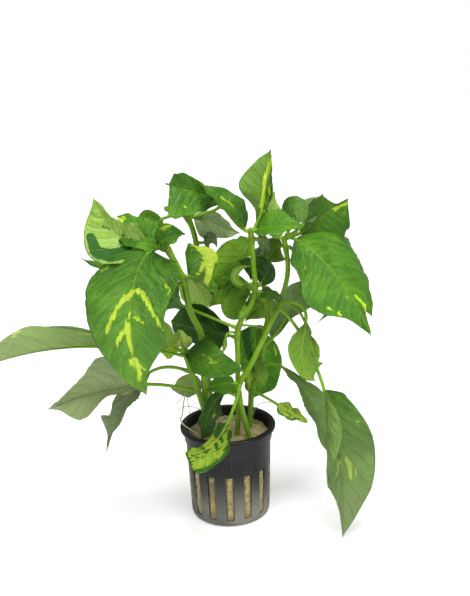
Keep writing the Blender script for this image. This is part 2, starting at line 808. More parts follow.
@dataclass(frozen=True)
class Stroke:
    """A mark on a blade: points of (along 0..1, across -1..1), and its half width in mm at both ends."""

    points: tuple[Pair, ...]
    start: float
    end: float


@dataclass(frozen=True)
class Leaf:
    """One leaf: where it grows from, where its tip is, and how its blade is turned, folded and marked.

    Lengths are in millimetres and turns in degrees. Pairs hold the value left and right of the midrib,
    or at the base and the tip. Each trim gives a share of the blade's length, and how many times as wide
    its left and its right half are there. A leaf that faces a set heading and rise turns its upper side
    there before its roll, and a twist turns it further from one share of its length to another. A haze
    pales it, and a shoulder sweeps a half's margin back at its base.
    """

    name: str
    stem: str
    node: float
    leaves: Pair
    tip: Triple
    arrives: Pair
    petiole: float
    width: float
    roll: Pair = (0, 0)
    fold: Pair = (12, 12)
    cup: Pair = (0, 0)
    cup_end: Pair | None = None
    widest: float = 0.4
    taper: Pair = (0.85, 1.15)
    pull: Pair = (0.38, 0.38)
    slot: str = "leaf"
    tone: Tone = Tone.FRESH
    shade: float = 0.0
    quilt: float = 0.35
    wave: Pair = (0.8, 3)
    trim: tuple[Triple, ...] = ()
    faces: Pair | None = None
    twist: Triple = (0, 1, 0)
    haze: Pair = (0, 0)
    shoulder: Pair = (0, 0)


STEMS: dict[str, list[Triple]] = {
    "stem_left": [(-11, -5, 43), (-12, -6, 60), (-17, -8, 82), (-21, -10, 98), (-21, -10, 104)],
    "stem_left_centre": [(-10, 1, 43), (-12, 0, 60), (-12, -8, 86), (-12, -16, 112), (-17, -22, 128),
                         (-20, -28, 148), (-27, -36, 167)],
    "stem_centre": [(4, -6, 43), (6, -9, 60), (7, -12, 96), (8, -12, 115), (17, -12, 132), (17, -12, 151),
                    (16, -12, 170)],
    "stem_right_centre": [(14, -12, 43), (11, -12, 55), (7, -15, 78), (9, -16, 87), (14, -14, 94),
                          (24, -8, 112), (32, -4, 128), (36, -2, 144), (34, -2, 163)],
    "stem_right_back": [(12, 1, 43), (13, 4, 54), (15, 8, 73), (20, 12, 87), (23, 14, 99), (26, 18, 121),
                        (22, 20, 134), (21, 22, 148)],
    "stem_back_left": [(-8, 7, 43), (-9, 8, 54), (-12, 14, 94), (-14, 18, 122), (-15, 18, 135),
                       (-14, 16, 156), (-19, 12, 173), (-31, 12, 178)],
}

LEAVES: list[Leaf] = [
    Leaf("leaf_crown", "stem_centre", 168, (120, 65), (28, -6, 209), (105, 80), 4, 29, (-60, -100),
         (-20, 12), (-150, 15), widest=0.38, taper=(0.8, 1.3), slot="leaf_pale", shade=0.05,
         trim=((0.1, 0.3, 0.3), (0.2, 0.4, 0.4), (0.3, 0.5, 0.8), (0.4, 0.5, 1.04), (0.6, 0.5, 1.18),
               (0.7, 0.5, 1.3), (0.8, 0.55, 1.5), (0.9, 0.8, 1.9))),
    Leaf("leaf_bridge", "stem_centre", 168, (-100, 40), (-10, -4, 193), (-90, 40), 1, 20, (-15, -30),
         (30, 10), shade=-0.1,
         trim=((0.1, 1.1, 1.5), (0.3, 1, 1.4), (0.5, 1, 1.4), (0.7, 1.3, 1.35), (0.8, 1.4, 1.1),
               (0.95, 0.8, 1))),
    Leaf("leaf_node_right", "stem_centre", 168, (50, 20), (43, -22, 171), (80, -5), 1, 18, (0, 0), (20, 15),
         shade=0.05, faces=(0, 50)),
    Leaf("leaf_cupped", "stem_back_left", 171, (95, 10), (-28, -4, 193), (-100, 20), 22, 34, (0, 0),
         (15, 15), (25, 25), widest=0.45, pull=(1.3, 0.5), shade=-0.1, faces=(0, 20),
         twist=(0.88, 0.97, 120),
         trim=((0.05, 0.55, 0.1), (0.2, 0.5, 0.12), (0.3, 0.58, 0.2), (0.4, 0.7, 0.3), (0.5, 0.85, 0.4),
               (0.6, 1.1, 0.5), (0.7, 1.55, 0.65), (0.8, 2.6, 1), (0.87, 3.2, 1.4), (0.91, 0.6, 2))),
    Leaf("leaf_right_hero", "stem_right_centre", 162, (75, -15), (77, -28, 113), (50, -65), 4, 52, (45, 55),
         (-20, 0), (-40, 5), widest=0.38, pull=(0.25, 0.32),
         trim=((0.02, 2, 0.8), (0.1, 2.25, 0.85), (0.2, 2.1, 0.68), (0.3, 1.5, 0.68), (0.4, 1.3, 0.83),
               (0.5, 1.25, 0.97), (0.6, 1.22, 1), (0.7, 0.95, 1), (0.8, 0.65, 0.82), (1, 0.7, 0.8))),
    Leaf("leaf_upper_right", "stem_right_centre", 161, (120, 5), (73, 28, 177), (110, 20), 8, 36, (75, 80),
         (10, 0), (60, 0), cup_end=(0, 0), widest=0.5, slot="leaf_dark", shade=-0.25,
         trim=((0.05, 1.5, 0.5), (0.1, 2.3, 0.5), (0.2, 1.7, 0.5), (0.3, 1.1, 0.68), (0.4, 0.9, 0.72),
               (0.5, 0.8, 0.8), (0.6, 0.74, 0.96), (0.7, 0.45, 1.3), (0.8, 0.15, 1.65), (0.9, 0.1, 2.6))),
    Leaf("leaf_grey_curled", "stem_right_centre", 163, (60, 85), (45, -6, 170), (70, -75), 2, 22, (50, 60),
         (5, 5), (20, 20), widest=0.5, pull=(1.2, 1.0), shade=-0.1, haze=(0.03, 0.16),
         trim=((0.2, 0.6, 0.6), (0.3, 0.6, 1), (0.5, 0.95, 1.3), (0.6, 0.8, 1.2), (0.7, 0.7, 1.4),
               (0.85, 0.7, 2.2))),
    Leaf("leaf_pale_young", "stem_right_centre", 162, (-80, 45), (30, 3, 186), (100, 60), 0.5, 17,
         (-60, -60), (20, 20), slot="leaf_pale", tone=Tone.PALE, shade=0.25),
    Leaf("leaf_behind_hero", "stem_right_back", 147, (95, -10), (86, 18, 109), (85, -70), 22, 32, (20, 50),
         (10, 10), trim=((0.2, 0.8, 1), (0.5, 0.82, 1), (0.7, 0.95, 1), (1, 1, 1))),
    Leaf("leaf_pale_left", "stem_left_centre", 166, (-115, -5), (-63, -22, 189), (-85, 65), 5, 32,
         (-55, -55), (10, 30), (10, 20), widest=0.5, pull=(0.6, 0.5), slot="leaf_pale", tone=Tone.PALE,
         shade=0.3,
         trim=((0.2, 1, 1), (0.35, 1.1, 0.75), (0.5, 1.12, 0.5), (0.7, 1.1, 0.42), (0.9, 1.05, 0.5))),
    Leaf("leaf_far_left", "stem_centre", 115, (-90, 25), (-75, -12, 157), (-90, 30), 30, 24, (0, 0),
         (15, 15)),
    Leaf("leaf_second_left", "stem_left_centre", 164, (-95, 25), (-53, -12, 178), (-85, 30), 5, 22,
         shade=0.1, faces=(0, 35), trim=((0.3, 1, 1), (0.6, 1.1, 0.8), (0.8, 1.7, 1), (0.9, 2.5, 1.6))),
    Leaf("leaf_third_left", "stem_back_left", 176, (-70, -10), (-43, 2, 163), (-60, -60), 8, 18, shade=-0.1,
         faces=(0, 30)),
    Leaf("leaf_apex_dark", "stem_left_centre", 166, (-50, 30), (-16, -44, 173), (80, 0), 3, 15, (0, 0),
         (20, 20), pull=(0.4, 0.5), slot="leaf_dark", shade=-0.2, faces=(0, 40)),
    Leaf("leaf_apex_left", "stem_left_centre", 166, (-45, 25), (-42, -46, 168), (-85, -30), 1, 12, (0, 0),
         (20, 20), shade=0.1, faces=(0, 40),
         trim=((0.2, 0.5, 0.6), (0.5, 0.8, 0.6), (0.7, 1.5, 0.4), (0.9, 2, 0.4))),
    Leaf("leaf_left_hero", "stem_left_centre", 165, (-87, 21), (-39, -52, 94), (81, -59), 5.8, 50,
         (-54, -71), (7, -1), (12, -16), pull=(0.23, 0.36), haze=(0, 0.1), shoulder=(0.39, 0),
         trim=((0.02, 2.62, 0.23), (0.06, 1.5, 0.68), (0.12, 1.32, 0.96), (0.2, 1.14, 0.94),
               (0.3, 0.89, 1.04), (0.4, 0.79, 1.01), (0.5, 0.77, 0.97), (0.6, 0.88, 0.93), (0.7, 1, 0.97),
               (0.8, 0.96, 0.99), (0.9, 0.81, 0.94), (0.97, 1.35, 0.97))),
    Leaf("leaf_long_left", "stem_left", 100, (-88, 15), (-135, -16, 98), (-88, -18), 28, 29, (0, 0),
         (75, 60), (5, 5), widest=0.55, shade=0.2, haze=(0.25, 0.7),
         trim=((0.3, 0.85, 0.9), (0.5, 1, 0.88), (0.6, 1.1, 0.95), (0.7, 1.12, 1.05), (0.85, 1.2, 1.1))),
    Leaf("leaf_low_left", "stem_left", 78, (-88, 20), (-99, -14, 72), (-88, -20), 30, 38, (-55, -50),
         (10, 50), (20, 20), widest=0.3, taper=(0.65, 1.0), tone=Tone.GREY, shade=0.1, haze=(0.45, 0.6),
         trim=((0.1, 0.3, 0.9), (0.3, 0.25, 1.25), (0.4, 0.35, 1.2), (0.5, 0.6, 0.96), (0.6, 1.05, 0.78),
               (0.7, 1.4, 0.75), (0.8, 1.17, 0.8), (0.9, 0.64, 0.57))),
    Leaf("leaf_low_left_back", "stem_left", 90, (-105, 20), (-73, 8, 34), (-75, -70), 24, 20, (-60, -60),
         (15, 15), tone=Tone.GREY, shade=-0.2, haze=(0.2, 0.4),
         trim=((0.1, 1.3, 0.2), (0.3, 0.85, 0.6), (0.5, 0.6, 0.8), (0.65, 0.6, 0.8), (0.74, 0.5, 2.2),
               (0.84, 0.3, 0.9), (0.9, 0.3, 0.3), (1, 0.3, 0.3))),
    Leaf("leaf_front_middle", "stem_left", 103, (5, 5), (11, -46, 103), (70, 1), 2.8, 26, (25, 20),
         (12, 15), (0, -9), pull=(0.45, 0.44), slot="leaf_dark", shade=-0.3, shoulder=(0.28, 0),
         trim=((0.02, 2.5, 0.16), (0.06, 2.26, 0.22), (0.12, 1.76, 0.21), (0.2, 1.27, 0.2),
               (0.3, 1.13, 0.26), (0.4, 1.04, 0.47), (0.5, 0.98, 0.73), (0.6, 0.98, 1.05), (0.7, 1.01, 1.3),
               (0.9, 1.1, 1.7), (0.97, 1.25, 2.04))),
    Leaf("leaf_front_small", "stem_right_centre", 84, (-60, 20), (-10, -30, 87), (-70, -10), 1, 16, (0, 0),
         (10, 10), shade=-0.2, faces=(0, 40),
         trim=((0.05, 1.9, 1), (0.2, 1, 0.6), (0.5, 0.9, 0.55), (0.7, 1.15, 0.75), (0.85, 1.6, 1.1))),
    Leaf("leaf_dark_in_pot", "stem_right_centre", 77, (-100, 30), (-15, -14, 50), (-60, -75), 6, 20,
         slot="leaf_dark", tone=Tone.DARK, faces=(-20, 20),
         trim=((0.1, 0.4, 0.5), (0.3, 0.8, 0.4), (0.5, 0.7, 0.4), (0.7, 1, 0.6), (0.85, 1.6, 0.5))),
    Leaf("leaf_variegated", "stem_right_centre", 84, (-20, -45), (-22, -44, 58), (-80, 20), 22, 30,
         (0, -20), (15, 15), (10, 10), widest=0.55, taper=(0.8, 0.9), slot="leaf_pale", tone=Tone.YELLOW,
         shade=-0.14,
         trim=((0.05, 1.3, 1.8), (0.1, 1.1, 1), (0.2, 0.9, 0.5), (0.3, 0.83, 0.35), (0.5, 0.78, 0.23),
               (0.7, 0.93, 0.2), (0.8, 1.25, 0.25), (0.92, 2, 0.5))),
    Leaf("leaf_small_right", "stem_right_back", 70, (40, 18), (46, -7, 55), (67, -25), 15.4, 13, (20, 14),
         (7, 8), (-14, -4), pull=(0.12, 0.23), slot="leaf_pale", tone=Tone.YELLOW, shade=0.5,
         haze=(0.1, 0.2),
         trim=((0.02, 1, 0.66), (0.06, 1, 1.23), (0.12, 0.96, 1.11), (0.3, 0.83, 1), (0.4, 0.76, 1),
               (0.6, 0.84, 1), (0.8, 1, 1), (0.97, 1, 0.92))),
    Leaf("leaf_right_hanging", "stem_right_centre", 123, (75, -40), (61, -38, 1), (-20, -75), 50, 38,
         (40, 60), (10, 0), (5, 190), cup_end=(5, 5), widest=0.5, pull=(0.22, 0.35), shade=-0.15,
         haze=(0, 0.75),
         trim=((0.05, 2.3, 1.3), (0.1, 1.7, 1.3), (0.2, 1.35, 1.35), (0.3, 1.22, 1.4), (0.4, 1.15, 1.3),
               (0.5, 1.08, 1.1), (0.6, 1.03, 0.75), (0.7, 1.03, 0.5), (0.8, 1, 0.35), (0.9, 1, 0.2))),
    Leaf("leaf_right_behind", "stem_right_back", 85, (125, 0), (61, 0, 23), (60, -75), 14, 24, (50, 50),
         (15, 15), shade=0.15, haze=(0.3, 0.4),
         trim=((0.1, 0.2, 0.65), (0.2, 0.35, 0.45), (0.3, 0.7, 0.53), (0.5, 1, 0.6), (0.7, 1, 0.7))),
    Leaf("leaf_round_back", "stem_right_back", 105, (-150, 10), (16, 26, 58), (-120, -70), 5, 32, (0, 0),
         (5, 5), pull=(0.4, 0.4), slot="leaf_dark", shade=0.5, faces=(20, 10),
         trim=((0.1, 0.4, 1.1), (0.2, 0.6, 0.8), (0.3, 0.8, 0.7), (0.5, 1.03, 0.7), (0.6, 1.23, 0.75),
               (0.7, 1.5, 0.88), (0.8, 2, 1.12), (0.9, 2.9, 1.8))),
    Leaf("leaf_dark_middle", "stem_centre", 109, (-150, -5), (-30, 8, 114), (-95, 20), 6, 34, (0, 0),
         (0, 0), widest=0.5, pull=(0.45, 0.45), slot="leaf_dark", tone=Tone.DARK, faces=(0, 30),
         trim=((0.05, 2.5, 1), (0.1, 1.4, 0.8), (0.2, 0.85, 0.6), (0.4, 0.6, 0.7), (0.6, 0.55, 0.9),
               (0.8, 0.8, 1.4), (0.9, 1.35, 2.1), (0.95, 1.7, 3))),
    Leaf("leaf_olive_middle", "stem_centre", 132, (-140, 20), (5, -4, 117), (-80, -85), 1, 20,
         tone=Tone.OLIVE, shade=0.6, faces=(0, 20),
         trim=((0.03, 4.4, 1.1), (0.1, 2.4, 0.91), (0.2, 1.1, 0.86), (0.4, 0.78, 0.78), (0.6, 0.9, 1),
               (0.7, 1.1, 1.24), (0.8, 1.58, 1.63), (0.9, 3, 2.4), (0.97, 6, 3.8))),
    Leaf("leaf_olive_back", "stem_centre", 164, (170, -20), (-4, 4, 133), (-100, -60), 2, 24,
         slot="leaf_pale", tone=Tone.OLIVE, shade=1.3, faces=(0, 20),
         trim=((0.05, 0.4, 1.1), (0.2, 0.35, 0.7), (0.4, 0.4, 0.9), (0.6, 0.4, 1.14), (0.7, 0.56, 1.3),
               (0.8, 0.82, 1.35), (0.9, 1.6, 1.55), (0.97, 3.5, 2.2))),
    Leaf("leaf_grey_back", "stem_centre", 163, (120, -10), (22, 6, 144), (-140, -85), 1, 16,
         slot="leaf_pale", tone=Tone.GREY, shade=0.1, faces=(0, 20), haze=(0.1, 0.1),
         trim=((0.05, 0.7, 1.6), (0.2, 0.5, 1.2), (0.4, 0.35, 0.74), (0.6, 0.45, 0.8), (0.8, 0.8, 1.3),
               (0.9, 1, 2.4))),
    Leaf("leaf_hooked", "stem_centre", 138, (-90, 0), (16, -9, 148), (90, -5), 1, 5, (0, 0), (0, 0),
         pull=(1.2, 1.1), slot="leaf_dark", tone=Tone.BRIGHT, quilt=0.1, wave=(0, 1), faces=(0, 20)),
    Leaf("leaf_dark_right", "stem_centre", 135, (60, 20), (32, -20, 132), (65, -20), 1, 14,
         slot="leaf_dark", tone=Tone.DARK, faces=(0, 45),
         trim=((0.1, 0.6, 0.9), (0.4, 0.35, 0.7), (0.7, 0.45, 0.9), (0.9, 0.7, 1))),
    Leaf("leaf_cupped_right", "stem_right_centre", 127, (70, 7), (49, -16, 84), (80, -30), 18, 26, (-1, 0),
         (10, 9), (28, 20), pull=(0.6, 0.5), slot="leaf_pale", tone=Tone.BRIGHT, shade=0.1, faces=(0, 4),
         trim=((0.02, 0.18, 0.18), (0.06, 0.19, 0.18), (0.12, 0.32, 0.31), (0.2, 0.39, 0.45),
               (0.3, 0.35, 0.6), (0.4, 0.38, 0.7), (0.5, 0.4, 0.64), (0.6, 0.76, 0.57), (0.7, 1.37, 0.59),
               (0.8, 2.05, 0.73), (0.9, 2.3, 0.87), (0.97, 1.5, 0.89))),
    Leaf("leaf_yellow_small", "stem_right_centre", 127, (82, -18), (51, -12, 94), (50, -60), 24, 9,
         slot="leaf_pale", tone=Tone.BRIGHT, shade=0.55, faces=(0, 20),
         trim=((0.2, 0.6, 1), (0.5, 0.8, 1.2), (0.8, 1.2, 1.6), (0.9, 2, 2.2))),
    Leaf("leaf_pale_right_back", "stem_right_back", 98, (80, 40), (57, 30, 131), (70, 15), 3, 30,
         slot="leaf_pale", tone=Tone.GREY, shade=0.15, faces=(180, -20),
         trim=((0.1, 0.2, 1), (0.3, 0.2, 0.7), (0.4, 0.36, 0.7), (0.5, 0.6, 0.7), (0.6, 0.88, 0.7),
               (0.7, 1.2, 0.7), (0.8, 1.6, 0.5))),
    Leaf("leaf_tip_under_hero", "stem_right_centre", 156, (85, -40), (51.5, -4, 113.5), (-70, -30), 6, 14,
         (50, 50), pull=(0.5, 0.4)),
    Leaf("leaf_pale_top_back", "stem_back_left", 172, (100, -15), (11, 36, 158), (110, -15), 2, 26,
         slot="leaf_pale", tone=Tone.GREY, shade=0.35, faces=(0, 20), haze=(0.3, 0.3),
         trim=((0.1, 0.5, 1.3), (0.3, 0.5, 0.8), (0.6, 0.5, 0.6), (0.9, 0.6, 0.9))),
    Leaf("leaf_yellow", "stem_left_centre", 148, (90, 9), (0, -25, 136), (88, -30), 1, 36, (0, 0), (60, -5),
         (14, 23), pull=(0.3, 0.35), slot="leaf_pale", shade=-0.1, shoulder=(0.26, 0.18),
         trim=((0.02, 2.31, 1), (0.06, 2.14, 1.15), (0.12, 1.34, 1.08), (0.2, 1.17, 1.01), (0.3, 1, 1),
               (0.4, 0.83, 1), (0.5, 0.49, 1), (0.6, 0.35, 1), (0.8, 0.33, 1), (0.97, 0.25, 1))),
    Leaf("leaf_yellow_cluster", "stem_left", 103, (-20, 60), (-24, -18, 117), (-20, 50), 1, 12,
         slot="leaf_pale", tone=Tone.YELLOW, shade=0.4),
    Leaf("leaf_pale_yellow", "stem_left", 101, (-130, 10), (-37, 4, 100), (-130, -10), 3, 13, (-70, -70),
         slot="leaf_pale", tone=Tone.YELLOW, shade=0.4),
    Leaf("leaf_small_back", "stem_back_left", 71, (-135, 5), (-34, 24, 67), (-135, -20), 3, 14, (-60, -60),
         tone=Tone.PALE, shade=0.1, haze=(0.2, 0.3)),
    Leaf("leaf_inner_right", "stem_right_back", 88, (-60, 20), (22, 2, 75), (30, -70), 1, 14,
         tone=Tone.BRIGHT, shade=0.1, faces=(0, 20),
         trim=((0.2, 0.5, 0.3), (0.5, 0.7, 0.45), (0.8, 1.3, 1.1))),
    Leaf("leaf_pale_back_left", "stem_back_left", 138, (-60, 0), (-9, 14, 121), (60, -60), 3, 13,
         slot="leaf_pale", tone=Tone.PALE, shade=-0.15, faces=(0, 10)),
]

# Small leaves between the large ones, too small or too hidden for solids of their own.
SMALL_LEAVES: list[Leaf] = [
    Leaf("leaf_veined_back", "stem_right_centre", 157, (-150, 0), (23, 8, 147), (-90, -20), 1, 15,
         tone=Tone.OLIVE, shade=0.4, faces=(0, 20)),
    Leaf("leaf_under_yellow", "stem_back_left", 140, (-40, -30), (-9, 2, 123), (20, -75), 2, 21, widest=0.5,
         tone=Tone.PALE, shade=0.35, faces=(0, 20)),
    Leaf("leaf_ring_strip", "stem_centre", 139, (-90, 10), (0, -6, 129), (-60, -70), 1, 6, pull=(0.5, 0.5),
         faces=(0, 20)),
    Leaf("leaf_ring_dark", "stem_centre", 138, (120, 30), (9, -3, 150), (-90, 20), 1, 15, pull=(0.6, 0.5),
         tone=Tone.DARK, faces=(0, 20)),
    Leaf("leaf_kink_green", "stem_centre", 134, (80, -30), (12, -2, 115), (-60, -60), 0.5, 15,
         tone=Tone.OLIVE, shade=0.3, faces=(0, 20)),
    Leaf("leaf_kink_yellow", "stem_centre", 132, (90, -30), (26, -8, 120), (60, -80), 3, 6,
         tone=Tone.YELLOW, faces=(0, 30)),
    Leaf("leaf_bud", "stem_centre", 136, (-40, 30), (17, -18, 140), (-20, 80), 0.5, 5, tone=Tone.BRIGHT,
         faces=(0, 20)),
    Leaf("leaf_bud_low", "stem_centre", 135, (50, -10), (21, -17, 132), (60, -60), 0.5, 4, tone=Tone.BRIGHT,
         faces=(0, 20)),
    Leaf("leaf_tail", "stem_back_left", 125, (60, 20), (2, -12, 136), (80, -10), 4, 6, tone=Tone.DARK,
         shade=0.3, faces=(0, 20)),
    Leaf("leaf_pale_wedge", "stem_right_centre", 162, (75, 30), (60, 36, 179), (105, 30), 14, 15, (0, 0),
         (10, 10), tone=Tone.GREY, shade=0.15, faces=(0, 30)),
    Leaf("leaf_hero_back", "stem_left_centre", 145, (-60, -20), (-31.5, -12, 126), (-90, -50), 0.5, 19,
         widest=0.45, shade=0.1, faces=(0, 20)),
    Leaf("leaf_left_inner", "stem_left", 102, (-90, 10), (-31, -24, 124.5), (-20, 80), 8, 14,
         tone=Tone.BRIGHT, shade=0.15, faces=(0, 20)),
    Leaf("leaf_gap_back", "stem_centre", 137, (-120, 0), (-8.5, 4, 122), (-80, -50), 2, 17, tone=Tone.OLIVE,
         shade=1.0, faces=(0, 20)),
    Leaf("leaf_young_left", "stem_centre", 112, (-90, 10), (-1.5, -16, 101.5), (-85, -60), 6, 2.6,
         pull=(0.5, 0.6), tone=Tone.BRIGHT, faces=(0, 20)),
    Leaf("leaf_young_right", "stem_centre", 117, (90, 0), (24, -4, 112), (90, 0), 8, 2.4, tone=Tone.BRIGHT,
         faces=(0, 20)),
    Leaf("leaf_spot_back", "stem_right_back", 84, (-60, -20), (13, -4, 76), (-30, -80), 1, 6,
         tone=Tone.YELLOW, faces=(0, 20)),
    Leaf("leaf_top_grey", "stem_back_left", 157, (60, 5), (-2, -4, 158), (40, -60), 3, 9, tone=Tone.GREY,
         faces=(0, 20)),
]

MARKS: dict[str, tuple[Stroke, ...]] = {
    "leaf_left_hero": (
        Stroke(((0.31, 0), (0.34, 0.08), (0.38, 0.2), (0.44, 0.32), (0.5, 0.44), (0.56, 0.56)), 1.5, 0.7),
        Stroke(((0.29, -0.12), (0.3, -0.24), (0.35, -0.4), (0.42, -0.6), (0.49, -0.84),
                (0.56, -0.92)), 1.5, 0.6),
        Stroke(((0.44, 0), (0.48, 0.04)), 0.9, 0.6),
        Stroke(((0.47, -0.12), (0.49, -0.28), (0.51, -0.4)), 0.8, 0.5),
        Stroke(((0.52, 0.04), (0.57, 0.16), (0.62, 0.36), (0.66, 0.4)), 1.3, 0.5),
        Stroke(((0.52, 0.04), (0.59, 0.04), (0.67, 0), (0.71, 0)), 1.5, 0.8),
        Stroke(((0.76, -0.04), (0.8, -0.16), (0.84, -0.2), (0.89, 0.08)), 2.3, 0.4),
        Stroke(((0.78, -0.16), (0.83, -0.6)), 1.2, 0.3),
        Stroke(((0.22, 0.88), (0.2, 0.84)), 0.6, 0.5),
        Stroke(((0.23, -0.72), (0.25, -0.84), (0.26, -0.88), (0.29, -0.88)), 0.7, 0.6),
    ),
    "leaf_right_hero": (
        Stroke(((0.67, -0.16), (0.73, -0.36), (0.79, -0.72), (0.85, -0.76)), 1, 0.9),
        Stroke(((0.76, -0.8), (0.78, -0.92)), 0.9, 0.9),
        Stroke(((0.64, 0.72), (0.67, 0.76)), 0.9, 0.7),
        Stroke(((0.72, 0.76), (0.75, 0.84)), 0.6, 0.6),
        Stroke(((0.64, 0.08), (0.65, 0.04)), 0.4, 0.4),
        Stroke(((0.23, 0.64), (0.25, 0.68)), 0.4, 0.4),
    ),
    "leaf_crown": (
        Stroke(((0.86, -0.96), (0.77, -0.04), (0.67, 0.04), (0.57, 0.08)), 1.2, 1.6),
        Stroke(((0.5, 0.08), (0.38, 0.08), (0.24, 0.12)), 1.1, 0.9),
        Stroke(((0.29, -0.2), (0.21, -0.16), (0.13, -0.96)), 0.8, 0.9),
        Stroke(((0.49, -0.32), (0.41, -0.44)), 0.7, 0.7),
    ),
    "leaf_bridge": (
        Stroke(((0.61, 0.28), (0.52, 0.36), (0.41, 0.36)), 0.7, 0.7),
    ),
    "leaf_cupped": (
        Stroke(((0.71, -0.48), (0.66, -0.56), (0.63, -0.68)), 0.4, 0.3),
        Stroke(((0.89, -0.56), (0.87, -0.72)), 0.2, 0.2),
    ),
    "leaf_upper_right": (
        Stroke(((0.75, 0.04), (0.81, 0.08), (0.94, 0.32)), 1.1, 1),
        Stroke(((0.85, 0.28), (0.9, 0.56)), 0.5, 0.4),
    ),
    "leaf_yellow": (
        Stroke(((0.19, -0.92), (0.23, -0.96), (0.29, -0.92), (0.41, -1)), 1.8, 1.2),
        Stroke(((0.23, -0.88), (0.31, -0.64), (0.43, -0.4), (0.48, -0.2)), 2.6, 1.6),
        Stroke(((0.26, -0.56), (0.23, -0.28), (0.18, -0.04)), 1.1, 0.3),
    ),
    "leaf_right_hanging": (
        Stroke(((0.48, -0.2), (0.54, -0.24), (0.6, -0.28)), 0.6, 1.3),
        Stroke(((0.5, -0.24), (0.55, -0.36), (0.59, -0.48)), 0.6, 0.6),
        Stroke(((0.49, -0.04), (0.52, 0.08), (0.55, 0.12), (0.58, 0.2)), 0.5, 0.5),
        Stroke(((0.47, -0.12), (0.47, -0.12)), 0.5, 0.5),
        Stroke(((0.26, -0.76), (0.26, -0.8)), 0.6, 0.5),
    ),
    "leaf_front_middle": (
        Stroke(((0.48, -0.36), (0.57, -0.2)), 0.35, 0.4),
        Stroke(((0.39, -0.32), (0.48, -0.32)), 0.15, 0.2),
        Stroke(((0.53, -0.36), (0.64, -0.24)), 0.15, 0.2),
    ),
    "leaf_round_back": (
        Stroke(((0.35, -0.88), (0.47, -0.8)), 0.5, 0.4),
    ),
    "leaf_dark_in_pot": (
        Stroke(((0.51, -0.6), (0.41, -0.48)), 0.5, 0.4),
    ),
    "leaf_second_left": (
        Stroke(((0.96, -1), (0.9, -0.32), (0.9, 0)), 1.6, 1.2),
    ),
    "leaf_apex_dark": (
        Stroke(((0.36, -0.68), (0.53, -0.76), (0.68, -1)), 0.9, 0.5),
    ),
    "leaf_long_left": (
        Stroke(((0.7, -0.88), (0.66, -0.96)), 0.9, 0.6),
    ),
}

DARK_PATCHES: dict[str, tuple[Stroke, ...]] = {
    "leaf_crown": (
        Stroke(((0.7, -1), (0.57, -0.88), (0.44, -0.4), (0.28, -0.88)), 1.2, 1.4),
    ),
    "leaf_variegated": (
        Stroke(((0.01, 1), (0.03, 1), (0.16, 0.76), (0.28, 0.4)), 2.6, 2),
        Stroke(((0.15, -0.68), (0.26, -1), (0.37, -0.92), (0.48, -0.96)), 1.8, 1.8),
        Stroke(((0.28, -0.2), (0.33, -0.32)), 1, 0.9),
        Stroke(((0.43, -0.16), (0.47, -0.32)), 1, 0.9),
        Stroke(((0.65, -0.04), (0.64, -0.16)), 0.9, 0.9),
        Stroke(((0.9, -0.12), (0.82, -0.2)), 0.5, 0.5),
        Stroke(((0.53, -0.96), (0.67, -0.92), (0.78, -0.84), (0.89, -1)), 1.4, 1),
        Stroke(((0.99, -0.64), (0.97, -1), (0.93, -0.96)), 1.2, 1),
    ),
    "leaf_small_right": (
        Stroke(((0.07, 1), (0.34, 0.96), (0.57, 0.8), (0.7, 0.48)), 1, 1),
        Stroke(((0.17, -0.28), (0.29, -0.24)), 0.5, 0.5),
        Stroke(((0.35, 0.32), (0.47, 0.48)), 0.6, 0.6),
        Stroke(((0.45, -0.48), (0.58, -0.2)), 0.5, 0.5),
    ),
    "leaf_round_back": (
        Stroke(((0.08, 0.72), (0.29, 0.52), (0.46, 0.36)), 2.4, 2.4),
    ),
    "leaf_pale_left": (
        Stroke(((0.63, -0.72), (0.5, -0.76), (0.4, -0.64), (0.29, -0.44)), 2.6, 4.2),
        Stroke(((0.67, -0.2), (0.64, -0.12)), 0.9, 0.6),
        Stroke(((0.62, -0.08), (0.6, -0.08)), 0.7, 0.7),
        Stroke(((0.44, 0.24), (0.42, 0.2)), 0.9, 0.9),
        Stroke(((0.41, -0.08), (0.39, -0.04)), 1.3, 1.3),
        Stroke(((0.3, 0.16), (0.27, 0)), 1.2, 1),
    ),
    "leaf_long_left": (
        Stroke(((0.74, -0.4), (0.7, -0.48), (0.68, -0.52)), 0.3, 0.3),
        Stroke(((0.67, -0.68), (0.68, -0.36)), 0.35, 0.3),
    ),
}


@dataclass
class Section:
    """A cross-section of a blade: its place, its directions and its half width at a share of its length."""

    place: Vector
    heading: Vector
    right: Vector
    up: Vector
    share: float
    halves: Pair


